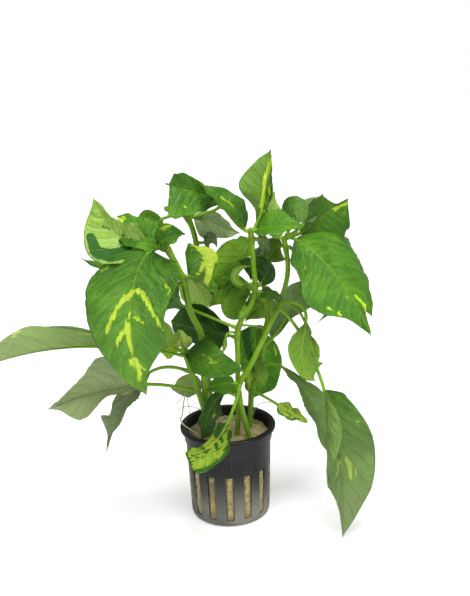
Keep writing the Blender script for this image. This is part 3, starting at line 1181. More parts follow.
@dataclass
class LeafPiece:
    """Builds one leaf: its petiole and midrib as a tapering rod, and its blade as a closed thin sheet."""

    leaf: Leaf
    route: list[Vector]
    marks: tuple[Stroke, ...] = ()
    patches: tuple[Stroke, ...] = ()
    cell: float = 0.95 * MM
    thickness: float = 0.4 * MM
    least_half: float = 0.3 * MM
    full_relief: float = 12 * MM
    crease: float = 0.15 * MM
    unevenness: float = 0.75 * MM
    petiole_radius: float = 0.95 * MM
    base_swell: float = 0.35
    swell_reach: float = 2.2 * MM
    rib_step: float = 1.6 * MM
    rib_end: float = 0.9
    steps: int = 120

    def __post_init__(self) -> None:
        """Work out the line of the midrib and which way the upper side faces along it."""
        leaf = self.leaf
        node, along_stem = self.stem_at(leaf.node * MM)
        out = direction(*leaf.leaves)
        away = (out - along_stem * out.dot(along_stem)).normalized()
        base = node + away * LEAF_OFFSET
        tip = Vector(leaf.tip) * MM
        reach = (tip - base).length
        handles = (base, base + out * reach * leaf.pull[0],
                   tip - direction(*leaf.arrives) * reach * leaf.pull[1], tip)
        self.fine = [self.bezier(handles, i / self.steps) for i in range(self.steps + 1)]
        self.sizes = lengths(self.fine)
        up, last = direction(leaf.leaves[0], leaf.leaves[1] + 90), out
        self.headings, self.ups = [], []
        for first, second in zip(self.fine, self.fine[1:]):
            heading = (second - first).normalized()
            up = last.rotation_difference(heading) @ up
            last = heading
            self.headings.append(heading)
            self.ups.append(up.copy())
        self.headings.append(last)
        self.ups.append(up.copy())
        self.away = away
        self.length = self.sizes[-1] - leaf.petiole * MM
        self.laid = {"mark": self.laid_out(self.marks), "dark": self.laid_out(self.patches)}
        self.seed = sum(ord(letter) * (i + 3) for i, letter in enumerate(leaf.name)) % 977 / 7

    def laid_out(self, strokes: tuple[Stroke, ...]) -> list[tuple[list[Vector], Stroke]]:
        """Return each stroke with its points on the flat blade, in millimetres."""
        return [([Vector((across * self.half(along, across > 0), along * self.length)) / MM
                  for along, across in stroke.points], stroke) for stroke in strokes]

    def stem_at(self, height: float) -> tuple[Vector, Vector]:
        """Return the middle of the stem and its direction at a height up it."""
        for low, high in zip(self.route, self.route[1:]):
            if low.z <= height <= high.z:
                share = (height - low.z) / max(high.z - low.z, 1e-9)
                return low.lerp(high, share), (high - low).normalized()
        return self.route[-1], (self.route[-1] - self.route[-2]).normalized()

    @staticmethod
    def bezier(points: tuple[Vector, ...], t: float) -> Vector:
        """Return the point of a cubic curve at a share of it."""
        first, second, third, fourth = points
        s = 1 - t
        return first * s**3 + second * (3 * s * s * t) + third * (3 * s * t * t) + fourth * t**3

    def half(self, share: float, side: int = 0) -> float:
        """Find half the blade's width: round at the base, drawn out at the tip.

        Args:
            share: The share of the blade's length.
            side: 0 for the left half and 1 for the right.

        Returns:
            The width from the midrib to the margin.
        """
        leaf = self.leaf
        if not 0 < share < 1:
            return 0.0
        spread = math.sin(math.pi * share ** (math.log(0.5) / math.log(leaf.widest)))
        width = leaf.width * MM / 2 * max(spread, 0) ** leaf.taper[0 if share < leaf.widest else 1]
        return width * self.trimmed(share, side)

    def trimmed(self, share: float, side: int) -> float:
        """Return how many times as wide a half is at a share of the length, on a smooth curve."""
        spots = [(trim[0], trim[1 + side]) for trim in self.leaf.trim]
        if not spots:
            return 1.0
        spots = [(spots[0][0] - 0.2, spots[0][1]), *spots, (spots[-1][0] + 0.2, spots[-1][1])]
        if share <= spots[1][0]:
            return spots[1][1]
        for i in range(1, len(spots) - 2):
            (low, first), (high, last) = spots[i], spots[i + 1]
            if share <= high:
                t = (share - low) / (high - low)
                start = (last - spots[i - 1][1]) / (high - spots[i - 1][0]) * (high - low)
                end = (spots[i + 2][1] - first) / (spots[i + 2][0] - low) * (high - low)
                rest = 3 * (last - first) - 2 * start - end
                return first + t * (start + t * (rest + t * (start + end - 2 * (last - first))))
        return spots[-1][1]

    def section(self, share: float) -> Section:
        """Find a cross-section.

        Args:
            share: The share of the blade's length, below 0 on the petiole.

        Returns:
            The cross-section.
        """
        leaf = self.leaf
        size = min(max(leaf.petiole * MM + share * self.length, 0.0), self.sizes[-1])
        low, high = 0, self.steps
        while high - low > 1:
            middle = (low + high) // 2
            low, high = (middle, high) if self.sizes[middle] <= size else (low, middle)
        part = (size - self.sizes[low]) / (self.sizes[low + 1] - self.sizes[low])
        place = self.fine[low].lerp(self.fine[low + 1], part)
        heading = self.headings[low].lerp(self.headings[low + 1], part).normalized()
        up = direction(*leaf.faces) if leaf.faces else self.ups[low].lerp(self.ups[low + 1], part)
        turn = leaf.roll[0] + (leaf.roll[1] - leaf.roll[0]) * max(share, 0)
        turn = math.radians(turn + leaf.twist[2] * ease(share, *leaf.twist[:2]))
        up = Quaternion(heading, turn) @ (up - heading * up.dot(heading)).normalized()
        halves = tuple(max(self.half(share, side), self.least_half) for side in (0, 1))
        return Section(place, heading, heading.cross(up), up, share, halves)

    def cupped(self, side: int, share: float) -> float:
        """Return how far a half is cupped at a share of the length, in degrees."""
        cup, end = self.leaf.cup, self.leaf.cup_end or self.leaf.cup
        return cup[side] + (end[side] - cup[side]) * ease(share, 0, 1)

    def relief(self, share: float, across: float, out: float, half: float) -> float:
        """Work out how far the upper side stands over the plain sheet.

        Args:
            share: The share of the blade's length.
            across: The share of its half width, from -1 to 1.
            out: The distance from the midrib.
            half: The half width there.

        Returns:
            The height, in metres.
        """
        leaf = self.leaf
        side, sign = abs(across), math.copysign(1, across)
        start = share - VEIN_SWEEP * side**VEIN_BEND * (1 - VEIN_FADE * share)
        phase = start * SIDE_VEINS + (VEIN_STAGGER if across > 0 else 0)
        between = abs(math.sin(math.pi * phase)) ** 0.7 - 0.6
        size = half / self.full_relief
        quilt = leaf.quilt * MM * between * min(1, 5 * side) * (1 - side**4) * min(1, size)
        groove = -0.3 * MM * bell(out, 0.9 * MM) * min(1, size)
        place = Vector((out * sign, share * self.length, 0)) / MM
        crease = noise.noise(place * 0.32 + Vector((self.seed, 0, 5))) * self.crease
        folds = Vector((start * self.length / (1.9 * MM), out / (7 * MM), self.seed + 4 * sign))
        crease += noise.noise(folds) * leaf.quilt * (3.2 - 2.2 * share) * MM
        roll = noise.noise(place * 0.085 + Vector((self.seed, 3, 9))) * self.unevenness * side
        amount, count = leaf.wave
        wave = amount * MM * math.sin(math.tau * count * share + self.seed + 2.0 * sign)
        ends = ease(share, 0, 0.15) * (1 - ease(share, 0.9, 1))
        return (quilt + crease * min(1, side * 4) + roll + wave * side**2.5) * ends + groove

    def point(self, section: Section, across: float, layer: float = 0.0) -> Vector:
        """Find a point of the blade.

        Args:
            section: The cross-section that it lies in.
            across: The share of its half width, from -1 to 1.
            layer: 1 on the upper side, -1 on the underside and 0 between them.

        Returns:
            The point.
        """
        share, side = section.share, 0 if across < 0 else 1
        opened = min(1, max(section.halves) / (3 * PETIOLE_HALF))
        fold = math.radians(self.leaf.fold[side]) * opened
        bend = math.radians(self.cupped(side, share)) * abs(across)
        width = section.halves[side] * abs(across)
        if abs(bend) < 1e-4:
            out, lifted = width * math.cos(fold), width * math.sin(fold)
        else:
            out = width * (math.sin(fold + bend) - math.sin(fold)) / bend
            lifted = width * (math.cos(fold) - math.cos(fold + bend)) / bend
        sign = math.copysign(1, across)
        normal = section.up * math.cos(fold + bend) - section.right * (sign * math.sin(fold + bend))
        rise = self.relief(share, across, width, section.halves[side])
        thin = (1 - abs(across) ** 6) * min(1, 12 * share, 12 * (1 - share))
        rise += layer * self.thickness / 2 * max(thin, 0)
        swept = self.leaf.shoulder[side] * width * abs(across) * (1 - ease(share, 0, 0.35))
        place = section.place - section.heading * swept
        return place + section.right * (out * sign) + section.up * lifted + normal * rise

    def lay(self, kind: str, share: float, wide: float) -> float:
        """Find how far inside the nearest stroke a place lies.

        Args:
            kind: The strokes' kind, mark or dark.
            share: The place's share of the blade's length.
            wide: Its distance from the midrib, below 0 on the left.

        Returns:
            The depth inside it in millimetres, below 0 outside.
        """
        best = UNMARKED
        here = Vector((wide, share * self.length)) / MM
        for spots, stroke in self.laid[kind]:
            spans = max(1, len(spots) - 1)
            for i, (first, second) in enumerate(zip(spots, spots[1:] or spots)):
                line = second - first
                part = min(max((here - first).dot(line) / max(line.length_squared, 1e-9), 0), 1)
                size = stroke.start + (stroke.end - stroke.start) * (i + part) / spans
                best = max(best, size - (here - first - line * part).length)
        return best

    def add_blade(self, bm: bmesh.types.BMesh) -> None:
        """Add the blade: two sheets that meet at the margin, one for each side."""
        leaf = self.leaf
        columns = 2 * max(5, min(28, round(leaf.width * MM / self.cell / 2)))
        rows = max(14, min(120, round(self.length / self.cell)))
        flat, layers = vertex_layers(bm, "along", "across", "mark", "dark", "tone", "haze", "joint")
        spots = [i / rows for i in range(rows + 1)]
        sections = [self.section(0.7 * spot + 0.15 * (1 - math.cos(math.pi * spot))) for spot in spots]
        known: dict[tuple[int, int], Pair] = {}
        made = []
        for side in (1, -1):
            verts = bmesh.ops.create_grid(bm, x_segments=columns, y_segments=rows, size=1)["verts"]
            faces = list({face for vert in verts for face in vert.link_faces})
            for face in faces:
                face.material_index = 0 if side > 0 else 1
            if side < 0:
                bmesh.ops.reverse_faces(bm, faces=faces)
            for vert in verts:
                row, column = round((vert.co.y + 1) / 2 * rows), round((vert.co.x + 1) / 2 * columns)
                across = column / columns * 2 - 1
                section = sections[row]
                share = section.share
                wide = across * section.halves[column * 2 > columns]
                if (row, column) not in known:
                    known[row, column] = (self.lay("mark", share, wide), self.lay("dark", share, wide))
                vert[flat] = Vector((wide, share * self.length, 0)) * 100
                vert[flat].z = self.seed
                haze = leaf.haze[0] + (leaf.haze[1] - leaf.haze[0]) * share
                numbers = (share, across, *known[row, column], leaf.shade, haze)
                for layer, number in zip(layers.values(), numbers):
                    vert[layer] = number
                vert.co = self.point(section, across, side)
            made += verts
        bmesh.ops.remove_doubles(bm, verts=made, dist=2 * WELD)

    def add_rib(self, bm: bmesh.types.BMesh) -> None:
        """Add the petiole and the midrib under the blade, as one rod from inside the stem."""
        leaf = self.leaf
        low, last = -leaf.petiole * MM / self.length, self.rib_end
        start = self.section(low)
        root = start.place - self.away * (LEAF_OFFSET - 0.5 * STEM_RADIUS)
        route, radii = [root], [1.25 * self.petiole_radius]
        count = max(8, round((leaf.petiole * MM + last * self.length) / self.rib_step))
        for i in range(count + 1):
            share = low + (last - low) * i / count
            section = self.section(share)
            swell = self.base_swell * bell((share - low) * self.length, self.swell_reach)
            radius = self.petiole_radius * (1 + swell)
            radius *= 1 - 0.82 * ease(share, -0.02, 0.75)
            radius *= min(1, 0.45 + leaf.width / 28)
            sunk = radius * 0.75 * ease(share, -0.03, 0.1)
            centre = self.point(section, 0.0) if share > 0 else section.place
            route.append(centre - section.up * sunk)
            radii.append(radius)
        radii = [0.0, *radii[:-1], 0.0]
        route.insert(0, root - (route[1] - root).normalized() * 0.2 * MM)
        sizes = lengths(route)
        rod = Rod(route, lambda share: value_at(share * sizes[-1], sizes, radii), top_squash=0.7,
                  up=start.up, seed=self.seed)
        verts = rod.add_to(bm, 2)
        for layer in vertex_layers(bm, "mark", "dark")[1].values():
            for vert in verts:
                vert[layer] = UNMARKED

    def build(self, rod: Finish) -> bpy.types.Object:
        """Build the leaf.

        Args:
            rod: The finish of its petiole and midrib.

        Returns:
            The leaf's object.
        """
        bm = bmesh.new()
        self.add_blade(bm)
        self.add_rib(bm)
        bmesh.ops.recalc_face_normals(bm, faces=bm.faces)
        obj = plant_piece(self.leaf.name.replace("leaf", "blade", 1), bm, *self.leaf.tone.value, rod)
        if self.leaf.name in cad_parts:
            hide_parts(self.leaf.name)
        return obj


@dataclass
class Foliage:
    """The six stems and their leaves."""

    stem_step: float = 1.5 * MM
    ridge_depth: float = 0.07
    swelling: float = 0.24
    swell_reach: float = 2.4 * MM
    point_length: float = 2.5 * MM
    foot_length: float = 0.5 * MM
    girth: float = 0.95
    girths: dict[str, float] = field(default_factory=lambda: {
        "stem_left_centre": 1.04, "stem_centre": 0.84, "stem_right_centre": 0.84})
    stem: RodFinish = RodFinish("stem_skin", (0.26, 0.45, 0.012), (0.11, 0.25, 0.006), (0.12, 0.15, 0.01),
                                foot_height=90 * MM)
    petiole: RodFinish = RodFinish("petiole_skin", (0.25, 0.45, 0.02), (0.12, 0.29, 0.010),
                                   (0.12, 0.15, 0.01))

    def routes(self) -> dict[str, list[Vector]]:
        """Return the stems' smooth routes by name."""
        return {name: smooth_route(in_metres(points), self.stem_step) for name, points in STEMS.items()}

    def build_stem(self, name: str, route: list[Vector]) -> bpy.types.Object:
        """Build a stem: squarish, grooved, swollen at its joints, with a bud's point at its top.

        Args:
            name: The stem's name.
            route: Its route.

        Returns:
            The stem's object.
        """
        joints = sorted({leaf.node * MM for leaf in LEAVES if leaf.stem == name})
        sizes, heights = lengths(route), [point.z for point in route]

        def radius_at(share: float) -> float:
            """Return the stem's radius at a share of its length."""
            size = share * sizes[-1]
            height = value_at(size, sizes, heights)
            swell = max((bell(height - joint, self.swell_reach) for joint in joints), default=0.0)
            point = 1 - ease(size, sizes[-1] - self.point_length, sizes[-1]) ** 2
            ends = math.sqrt(max(0.0, point)) * math.sqrt(ease(size, -0.01 * MM, self.foot_length))
            taper = self.girths.get(name, self.girth) * (1.04 - 0.12 * share)
            return STEM_RADIUS * taper * (1 + self.swelling * swell) * ends

        bm = bmesh.new()
        Rod(route, radius_at, sides=20, ridges=4, ridge_depth=self.ridge_depth, joints=tuple(joints),
            seed=len(name)).add_to(bm)
        bmesh.ops.recalc_face_normals(bm, faces=bm.faces)
        obj = plant_piece(name.replace("stem", "stalk", 1), bm, self.stem)
        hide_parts(name)
        return obj

    def build(self) -> list[bpy.types.Object]:
        """Build the stems and the leaves and return their objects."""
        routes = self.routes()
        made = [self.build_stem(name, route) for name, route in routes.items()]
        for leaf in LEAVES + SMALL_LEAVES:
            marks, patches = (laid.get(leaf.name, ()) for laid in (MARKS, DARK_PATCHES))
            piece = LeafPiece(leaf, routes[leaf.stem], marks, patches)
            made.append(piece.build(self.petiole))
        return made


@dataclass
class NetPot:
    """The slotted pot: a turned shell with a rolled lip, a shoulder and rows of slots."""

    height: float = 54 * MM
    rim_radius: float = 27.5 * MM
    rim_height: float = 2.6 * MM
    neck_radius: float = 25.3 * MM
    shoulder_radius: float = 24.4 * MM
    shoulder_drop: float = 8.5 * MM
    foot_radius: float = 22.9 * MM
    wall: float = 1.2 * MM
    floor: float = 1.6 * MM
    slots: int = 14
    slot_width: float = 4.6 * MM
    slot_bottom: float = 3.8 * MM
    slot_top: float = 31 * MM
    slot_columns: int = 8
    floor_slots: int = 7
    drain: Pair = (9 * MM, 17 * MM)
    drain_share: float = 0.32
    edge_round: float = 0.22 * MM
    finish: PotFinish = PotFinish()

    def wall_radius(self, height: float) -> float:
        """Return the outer radius of the wall below the shoulder."""
        rise = height / (self.height - self.shoulder_drop)
        return self.foot_radius + (self.shoulder_radius - self.foot_radius) * rise

    @staticmethod
    def near(radius: float, height: float, *steps: Pair) -> list[Pair]:
        """Return the places at steps outwards and up, in millimetres, from a radius and a height."""
        return [(radius + out * MM, height + up * MM) for out, up in steps]

    def profile(self) -> list[Pair]:
        """Return the pot's section, from the middle of its floor over the lip to its foot's middle."""
        near, shoulder, lip = self.near, self.height - self.shoulder_drop, self.height - self.rim_height
        levels = [self.slot_bottom + (self.slot_top - self.slot_bottom) * i / 5 for i in range(6)]
        outer = [(self.wall_radius(level), level) for level in levels]
        inner = self.neck_radius - self.wall
        return [
            *((radius, self.floor) for radius in (0, *self.drain)),
            *near(self.foot_radius, self.floor, (-3, 0), (-1.8, 0.6)),
            *((radius - self.wall, level) for radius, level in outer),
            *near(self.shoulder_radius - self.wall, shoulder, (0, -0.4)),
            *near(inner, shoulder, (0, 0.9)),
            *near(inner, self.height, (0, -0.8), (0.3, -0.2), (0.9, 0)),
            *near(self.rim_radius, self.height, (-0.9, 0), (-0.35, -0.2), (0, -0.8)),
            *near(self.rim_radius, lip, (-0.05, 0.7), (-0.35, 0.15), (-0.9, 0)),
            *near(self.neck_radius, lip, (0.4, 0), (0, -0.4)),
            *near(self.neck_radius, shoulder, (0, 0.8), (-0.2, 0.25)),
            *near(self.shoulder_radius, shoulder, (0, -0.2)),
            *near(self.shoulder_radius, 0, (-0.05, 40)),
            *reversed(outer),
            *near(self.foot_radius, 0, (0, 1.7), (-0.45, 0.5), (-1.5, 0)),
            *((radius, 0) for radius in (*reversed(self.drain), 0)),
        ]

    def in_slot(self, face: bmesh.types.BMFace) -> int | None:
        """Return the number of the slot that a face lies in, floor slots after wall slots, or None."""
        centre = face.calc_center_median()
        radius, turn = polar(centre)
        if self.slot_bottom < centre.z < self.slot_top and radius > self.foot_radius - 3 * MM:
            pitch = math.tau / self.slots
            if abs(off_middle(turn, pitch)) * radius < self.slot_width / 2:
                return round(turn / pitch) % self.slots
        if centre.z < 2 * MM and self.drain[0] < radius < self.drain[1]:
            pitch = math.tau / self.floor_slots
            if abs(off_middle(turn, pitch)) < pitch * self.drain_share / 2:
                return self.slots + round(turn / pitch) % self.floor_slots
        return None

    def line_up(self, bm: bmesh.types.BMesh, steps: int) -> None:
        """Move the wall's columns of vertices, steps in all, to the edges of its slots."""
        pitch, half = math.tau / self.slots, self.slot_columns / 4
        for vert in bm.verts:
            radius, turn = polar(vert.co)
            if radius < self.foot_radius - 4 * MM:
                continue
            slot = round(turn / pitch)
            step = (turn - slot * pitch) / (math.tau / steps)
            edge = math.asin(self.slot_width / 2 / radius)
            if abs(step) <= half:
                away = edge * step / half
            else:
                away = math.copysign(edge + (pitch / 2 - edge) * (abs(step) - half) / half, step)
            move_round(vert, radius, slot * pitch + away)

    def cut_slots(self, bm: bmesh.types.BMesh) -> None:
        """Cut the slots through the shell and round their edges."""
        holes = {face: self.in_slot(face) for face in bm.faces}
        rims = {number: set() for number in holes.values() if number is not None}
        for edge in bm.edges:
            owners = [holes[face] for face in edge.link_faces]
            if None in owners:
                for number in set(owners) - {None}:
                    rims[number].add(edge)
        doomed = [face for face, number in holes.items() if number is not None]
        bmesh.ops.delete(bm, geom=doomed, context="FACES")
        corners = []
        for rim in rims.values():
            kept = [edge for edge in rim if edge.is_valid]
            bmesh.ops.bridge_loops(bm, edges=kept)
            corners += kept
        bmesh.ops.recalc_face_normals(bm, faces=bm.faces)
        bmesh.ops.bevel(bm, geom=[edge for edge in corners if edge.is_valid], offset=self.edge_round,
                        offset_type="OFFSET", segments=2, profile=0.5, affect="EDGES", material=-1)

    def build(self) -> bpy.types.Object:
        """Build the pot and return its object."""
        bm = bmesh.new()
        steps = self.slots * self.slot_columns
        add_turned(bm, self.profile(), steps)
        self.line_up(bm, steps)
        bmesh.ops.recalc_face_normals(bm, faces=bm.faces)
        self.cut_slots(bm)
        obj = plant_piece("net_pot", bm, self.finish)
        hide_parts("pot")
        return obj


@dataclass
class Rockwool:
    """The plug of rockwool: matted, bulging into the slots, with loose fibres on it."""

    pot: NetPot
    top: float = 48.3 * MM
    dome: float = 1.2 * MM
    columns: int = 224
    side_rows: int = 46
    top_rows: int = 26
    bulge: float = 1.15 * MM
    fibres: int = 620
    fibre_lengths: Pair = (1.5, 4.5)
    fibre_radii: Pair = (0.05, 0.11)
    seed: int = 11
    damp_slot: Pair = (-25.7, 9.0)
    finish: WoolFinish = WoolFinish()

    def surface(self, x: float, y: float) -> float:
        """Return the height of the plug's top at a place."""
        edge = self.pot.shoulder_radius - self.pot.wall
        out = min(math.hypot(x, y) / edge, 1)
        lumps = noise.fractal(Vector((x, y, 0.2)) * 190, 1.0, 2.0, 3) * 1.0 * MM
        grain = noise.fractal(Vector((x, y, 0.7)) * 800, 1.0, 2.0, 3) * 0.35 * MM
        heap = 2.4 * MM * bell(math.hypot(x - 18 * MM, y + 8 * MM), 8 * MM)
        sunk = -1.2 * MM * bell(math.hypot(x + 14 * MM, y + 10 * MM), 9 * MM)
        return self.top + self.dome * (1 - out * out) + lumps + grain + heap + sunk

    def side(self, turn: float, height: float) -> float:
        """Return the radius of the plug's side at a turn from the front and a height."""
        pot = self.pot
        inner = pot.wall_radius(height) - pot.wall - 0.15 * MM
        if height > pot.height - pot.shoulder_drop:
            inner = pot.shoulder_radius - pot.wall - 0.1 * MM
        away = abs(off_middle(turn, math.tau / pot.slots)) * inner
        across = 1 - ease(away, pot.slot_width / 2 - 1.1 * MM, pot.slot_width / 2 - 0.25 * MM)
        along = ease(height, pot.slot_bottom - 0.1 * MM, pot.slot_bottom + 1.2 * MM)
        along *= 1 - ease(height, pot.slot_top - 1.2 * MM, pot.slot_top - 0.1 * MM)
        spot = Vector((math.cos(turn) * inner, math.sin(turn) * inner, height))
        ragged = noise.fractal(spot * 420, 1.0, 2.0, 4)
        clumps = noise.noise(spot * 140)
        empty = 0.6 + 1.2 * noise.noise(spot * 90 + Vector((7, 1, 2)))
        gap = bell(height - pot.slot_bottom, 3.5 * MM) * empty
        bulge = self.bulge + 0.35 * MM * clumps - 1.3 * MM * max(gap, 0)
        rough = 0.3 * MM * min(ragged, 0.4)
        return inner + across * along * (bulge + rough) + (rough - 0.15 * MM) * (1 - across * along)

    def stain(self, spot: Vector) -> float:
        """Return how damp and dark the wool is at a place: the left of its top, and one slot's upper half."""
        turn = math.degrees(math.atan2(spot.x, -spot.y))
        shade = 0.0
        if spot.z > 40 * MM:
            shade = 0.75 * ease(-spot.x, 2 * MM, 16 * MM)
        middle, reach = self.damp_slot
        if abs(turn - middle) < reach:
            shade = max(shade, 1.2 * ease(spot.z, 13 * MM, 19 * MM))
        return shade * (0.6 + 0.6 * noise.noise(spot * 300))

    def add_plug(self, bm: bmesh.types.BMesh) -> None:
        """Add the plug: a turned outline, roughened."""
        pot = self.pot
        bottom = pot.floor + 0.2 * MM
        edge = pot.shoulder_radius - pot.wall
        outline = [(pot.foot_radius * i / 8 * 0.86, bottom) for i in range(8)]
        up = (self.top - bottom) / self.side_rows
        outline += [(edge, bottom + up * i) for i in range(self.side_rows + 1)]
        outline += [(edge * (1 - i / self.top_rows), self.top) for i in range(1, self.top_rows + 1)]
        stain = vertex_layers(bm, "joint", "stain")[1]["stain"]
        add_turned(bm, outline, self.columns)
        for vert in bm.verts:
            radius, turn = polar(vert.co)
            if radius > edge - NEAR and vert.co.z < self.top - NEAR:
                move_round(vert, self.side(turn, vert.co.z), turn)
            elif vert.co.z > self.top - NEAR:
                vert.co.z = self.surface(vert.co.x, vert.co.y)
            vert[stain] = self.stain(vert.co)
        bmesh.ops.recalc_face_normals(bm, faces=bm.faces)

    def add_fibres(self, bm: bmesh.types.BMesh) -> None:
        """Add loose fibres, lying on the plug's top and in the slots."""
        chance = random.Random(self.seed)
        stain = vertex_layers(bm, "stain")[1]["stain"]
        for number in range(self.fibres):
            length = chance.uniform(*self.fibre_lengths) * MM
            heading = chance.uniform(0, math.tau)
            curl = chance.uniform(-1.2, 1.2)
            turns = [heading + curl * i / 4 for i in range(5)]
            steps = [(math.cos(turn) * length / 4, math.sin(turn) * length / 4) for turn in turns]
            route = []
            if number % 3:
                out = 22 * MM * math.sqrt(chance.random())
                spin = chance.uniform(0, math.tau)
                x, y = out * math.cos(spin), out * math.sin(spin)
                for sideways, back in steps:
                    lift = chance.uniform(0.02, 0.25) * MM
                    route.append(Vector((x, y, self.surface(x, y) + lift)))
                    x, y = x + sideways, y + back
                    if math.hypot(x, y) > 22.6 * MM:
                        x, y = x * 0.97, y * 0.97
            else:
                slot = chance.randrange(self.pot.slots)
                turn = math.tau * slot / self.pot.slots + chance.uniform(-0.07, 0.07)
                height = chance.uniform(6, 27) * MM
                for sideways, rise in steps:
                    radius = self.side(turn, height) + chance.uniform(0.05, 0.2) * MM
                    route.append(Vector((radius * math.sin(turn), -radius * math.cos(turn), height)))
                    turn += sideways / radius * 0.5
                    height += rise
            thick = chance.uniform(*self.fibre_radii) * MM
            rod = Rod(route, rounded_rod(thick, 0.2), sides=3, up=Vector((0.3, 0.2, 1)))
            for vert in rod.add_to(bm):
                vert[stain] = chance.uniform(0, 0.3)

    def build(self) -> bpy.types.Object:
        """Build the rockwool and return its object."""
        bm = bmesh.new()
        self.add_plug(bm)
        self.add_fibres(bm)
        obj = plant_piece("rockwool_plug", bm, self.finish)
        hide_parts("rockwool")
        return obj


@dataclass
class Roots:
    """The roots outside the rockwool and the finer ones that lie on it, in millimetres."""

    finish: RodFinish = RodFinish("root_skin", (0.62, 0.56, 0.40), (0.45, 0.38, 0.22), (0.3, 0.2, 0.1), 0.6)
    thick: float = 0.4 * MM
    thin: float = 0.25 * MM
    solids: dict[str, list[Triple]] = field(default_factory=lambda: {
        "root_rim_left": [(-27.5, -3, 60), (-25.5, -5, 56.5), (-21, -7, 53.5), (-15, -9, 50.2)],
        "root_hanging_left": [(-24, 3, 72), (-25, 2, 66), (-26, 0, 60), (-27, -2, 58)],
    })
    threads: dict[str, list[Triple]] = field(default_factory=lambda: {
        "thread_over_rim": [(-31, 19.2, 54.2), (-26.9, 19.9, 56), (-22.6, 18.7, 57), (-15, 14, 56),
                            (-9, 10, 51)],
        "thread_hanging": [(-24.2, 14.9, 68), (-27.5, 16.7, 63.1), (-30.9, 18.9, 58.1)],
        "thread_inside": [(-24.2, 14.9, 68), (-23.2, 14.8, 60), (-22.6, 13.5, 54), (-21, 12, 49)],
        "thread_on_wool": [(0, 3, 48.6), (2.9, 7.8, 49), (5, 11.6, 48.9), (7.2, 17.4, 48.8)],
        "thread_behind": [(13, 12, 49), (17.7, 19.3, 55), (21, 19.5, 57.3), (27, 19, 57.6)],
        "thread_front": [(9, -4, 48.6), (11.3, -9.1, 49), (14.5, -14.7, 49.1), (18.5, -13.5, 48.8)],
        "thread_left": [(-6, -6, 48.7), (-12, -10, 49), (-17, -8, 49.1), (-20, -2, 48.8)],
    })

    def build_root(self, name: str, points: list[Triple], radius: float) -> bpy.types.Object:
        """Build a root along its points and return its object."""
        bm = bmesh.new()
        route = smooth_route(in_metres(points), 0.9 * MM)
        Rod(route, rounded_rod(radius, 0.06), sides=8).add_to(bm)
        bmesh.ops.recalc_face_normals(bm, faces=bm.faces)
        obj = plant_piece(name, bm, self.finish)
        return obj

    def build(self) -> list[bpy.types.Object]:
        """Build the roots and return their objects."""
        made = []
        for name, points in self.solids.items():
            obj = self.build_root(name.replace("root", "rootlet", 1), points, self.thick)
            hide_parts(name)
            made.append(obj)
        return made + [self.build_root(name, points, self.thin) for name, points in self.threads.items()]


@dataclass(frozen=True)
class Lamp:
    """A soft lamp: where it stands, the side of its square face, its power in watts and its colour."""

    name: str
    place: Triple
    size: float
    power: float
    colour: Colour = (1.0, 1.0, 1.0)


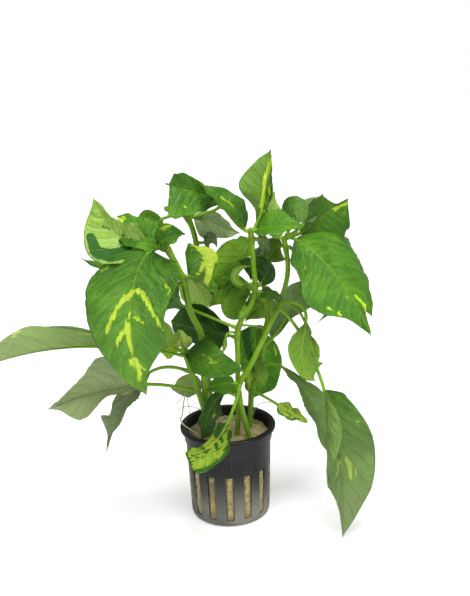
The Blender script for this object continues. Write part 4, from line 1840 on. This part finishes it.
@dataclass
class Studio:
    """The floor, the light and the camera at the photograph's angle."""

    place: Triple = (0.0067, -0.4095, 0.2396)
    pitch: float = 15.2
    roll: float = 2.0
    focal: float = 769.0
    picture_height: float = 596.0
    sensor: float = 36.0
    aim: Triple = (0, 0, 0.11)
    sky: float = 0.30
    zenith: float = 0.5
    floor_drop: float = 0.2 * MM
    lamps: tuple[Lamp, ...] = (
        Lamp("lamp_top", (0.10, -0.20, 0.95), 0.45, 7.2),
        Lamp("lamp_left", (-0.65, -0.80, 0.62), 0.4, 3.4, (0.98, 0.99, 1.0)),
        Lamp("lamp_right", (0.70, -0.70, 0.55), 0.4, 3.0, (1.0, 0.99, 0.97)),
    )
    finish: FloorFinish = FloorFinish()

    def add_floor(self) -> None:
        """Add the floor."""
        bm = bmesh.new()
        matrix = Matrix.Translation((0, 0, -self.floor_drop))
        bmesh.ops.create_grid(bm, x_segments=24, y_segments=24, size=12, matrix=matrix)
        floor = mesh_object("floor", bm, self.finish)

    def add_lamp(self, lamp: Lamp) -> None:
        """Add a lamp that points at the plant."""
        data = bpy.data.lights.new(lamp.name, "AREA")
        data.size = lamp.size
        data.energy = lamp.power
        data.color = lamp.colour
        aim = Vector(self.aim) - Vector(lamp.place)
        turned = aim.to_track_quat("-Z", "Y").to_matrix().to_4x4()
        in_scene(lamp.name, data).matrix_world = Matrix.Translation(lamp.place) @ turned

    def add_light(self) -> None:
        """Add the lamps and an even pale surrounding."""
        for lamp in self.lamps:
            self.add_lamp(lamp)
        world = bpy.data.worlds.new("studio")
        world.use_nodes = True
        graph = Graph(world.node_tree)
        sky = world.node_tree.nodes["Background"]
        rise = graph.node("SeparateXYZ", {0: graph.node("TexCoord").outputs["Generated"]}).outputs[2]
        glow = graph.remap(rise, -0.2, 1.0, self.sky, self.zenith)
        seen = graph.node("LightPath").outputs["Is Camera Ray"]
        sky.inputs["Color"].default_value = (1, 1, 1, 1)
        graph.feed(sky.inputs["Strength"], graph.math("MAXIMUM", glow, seen))
        bpy.context.scene.world = world
        bpy.context.scene.view_settings.view_transform = "Standard"

    def add_camera(self) -> None:
        """Add the camera."""
        pitch, roll = math.radians(self.pitch), math.radians(self.roll)
        level = Vector((1, 0, 0))
        above = Vector((0, math.sin(pitch), math.cos(pitch)))
        back = Vector((0, -math.cos(pitch), math.sin(pitch)))
        right = level * math.cos(roll) - above * math.sin(roll)
        up = level * math.sin(roll) + above * math.cos(roll)
        data = bpy.data.cameras.new("camera")
        data.sensor_width = self.sensor
        data.lens = self.focal * self.sensor / self.picture_height
        data.clip_start = 0.01
        camera = in_scene("camera", data)
        turned = Matrix((right, up, back)).transposed().to_4x4()
        camera.matrix_world = Matrix.Translation(self.place) @ turned
        bpy.context.scene.camera = camera

    def build(self) -> None:
        """Build the studio."""
        self.add_floor()
        self.add_light()
        self.add_camera()


def main() -> None:
    """Build the plant, its pot and the studio, and report each piece."""
    logging.basicConfig(level=logging.INFO, format="%(message)s")
    Studio().build()
    pot = NetPot()
    pieces = [pot.build(), Rockwool(pot).build(), *Foliage().build(), *Roots().build()]
    faces = 0
    for piece in pieces:
        count = sum(len(face.vertices) - 2 for face in piece.data.polygons)
        faces += count
        log.info("%s: %d triangles", piece.name, count)
    log.info("all pieces: %d triangles", faces)
    bpy.context.view_layer.update()


if __name__ == "__main__":
    main()
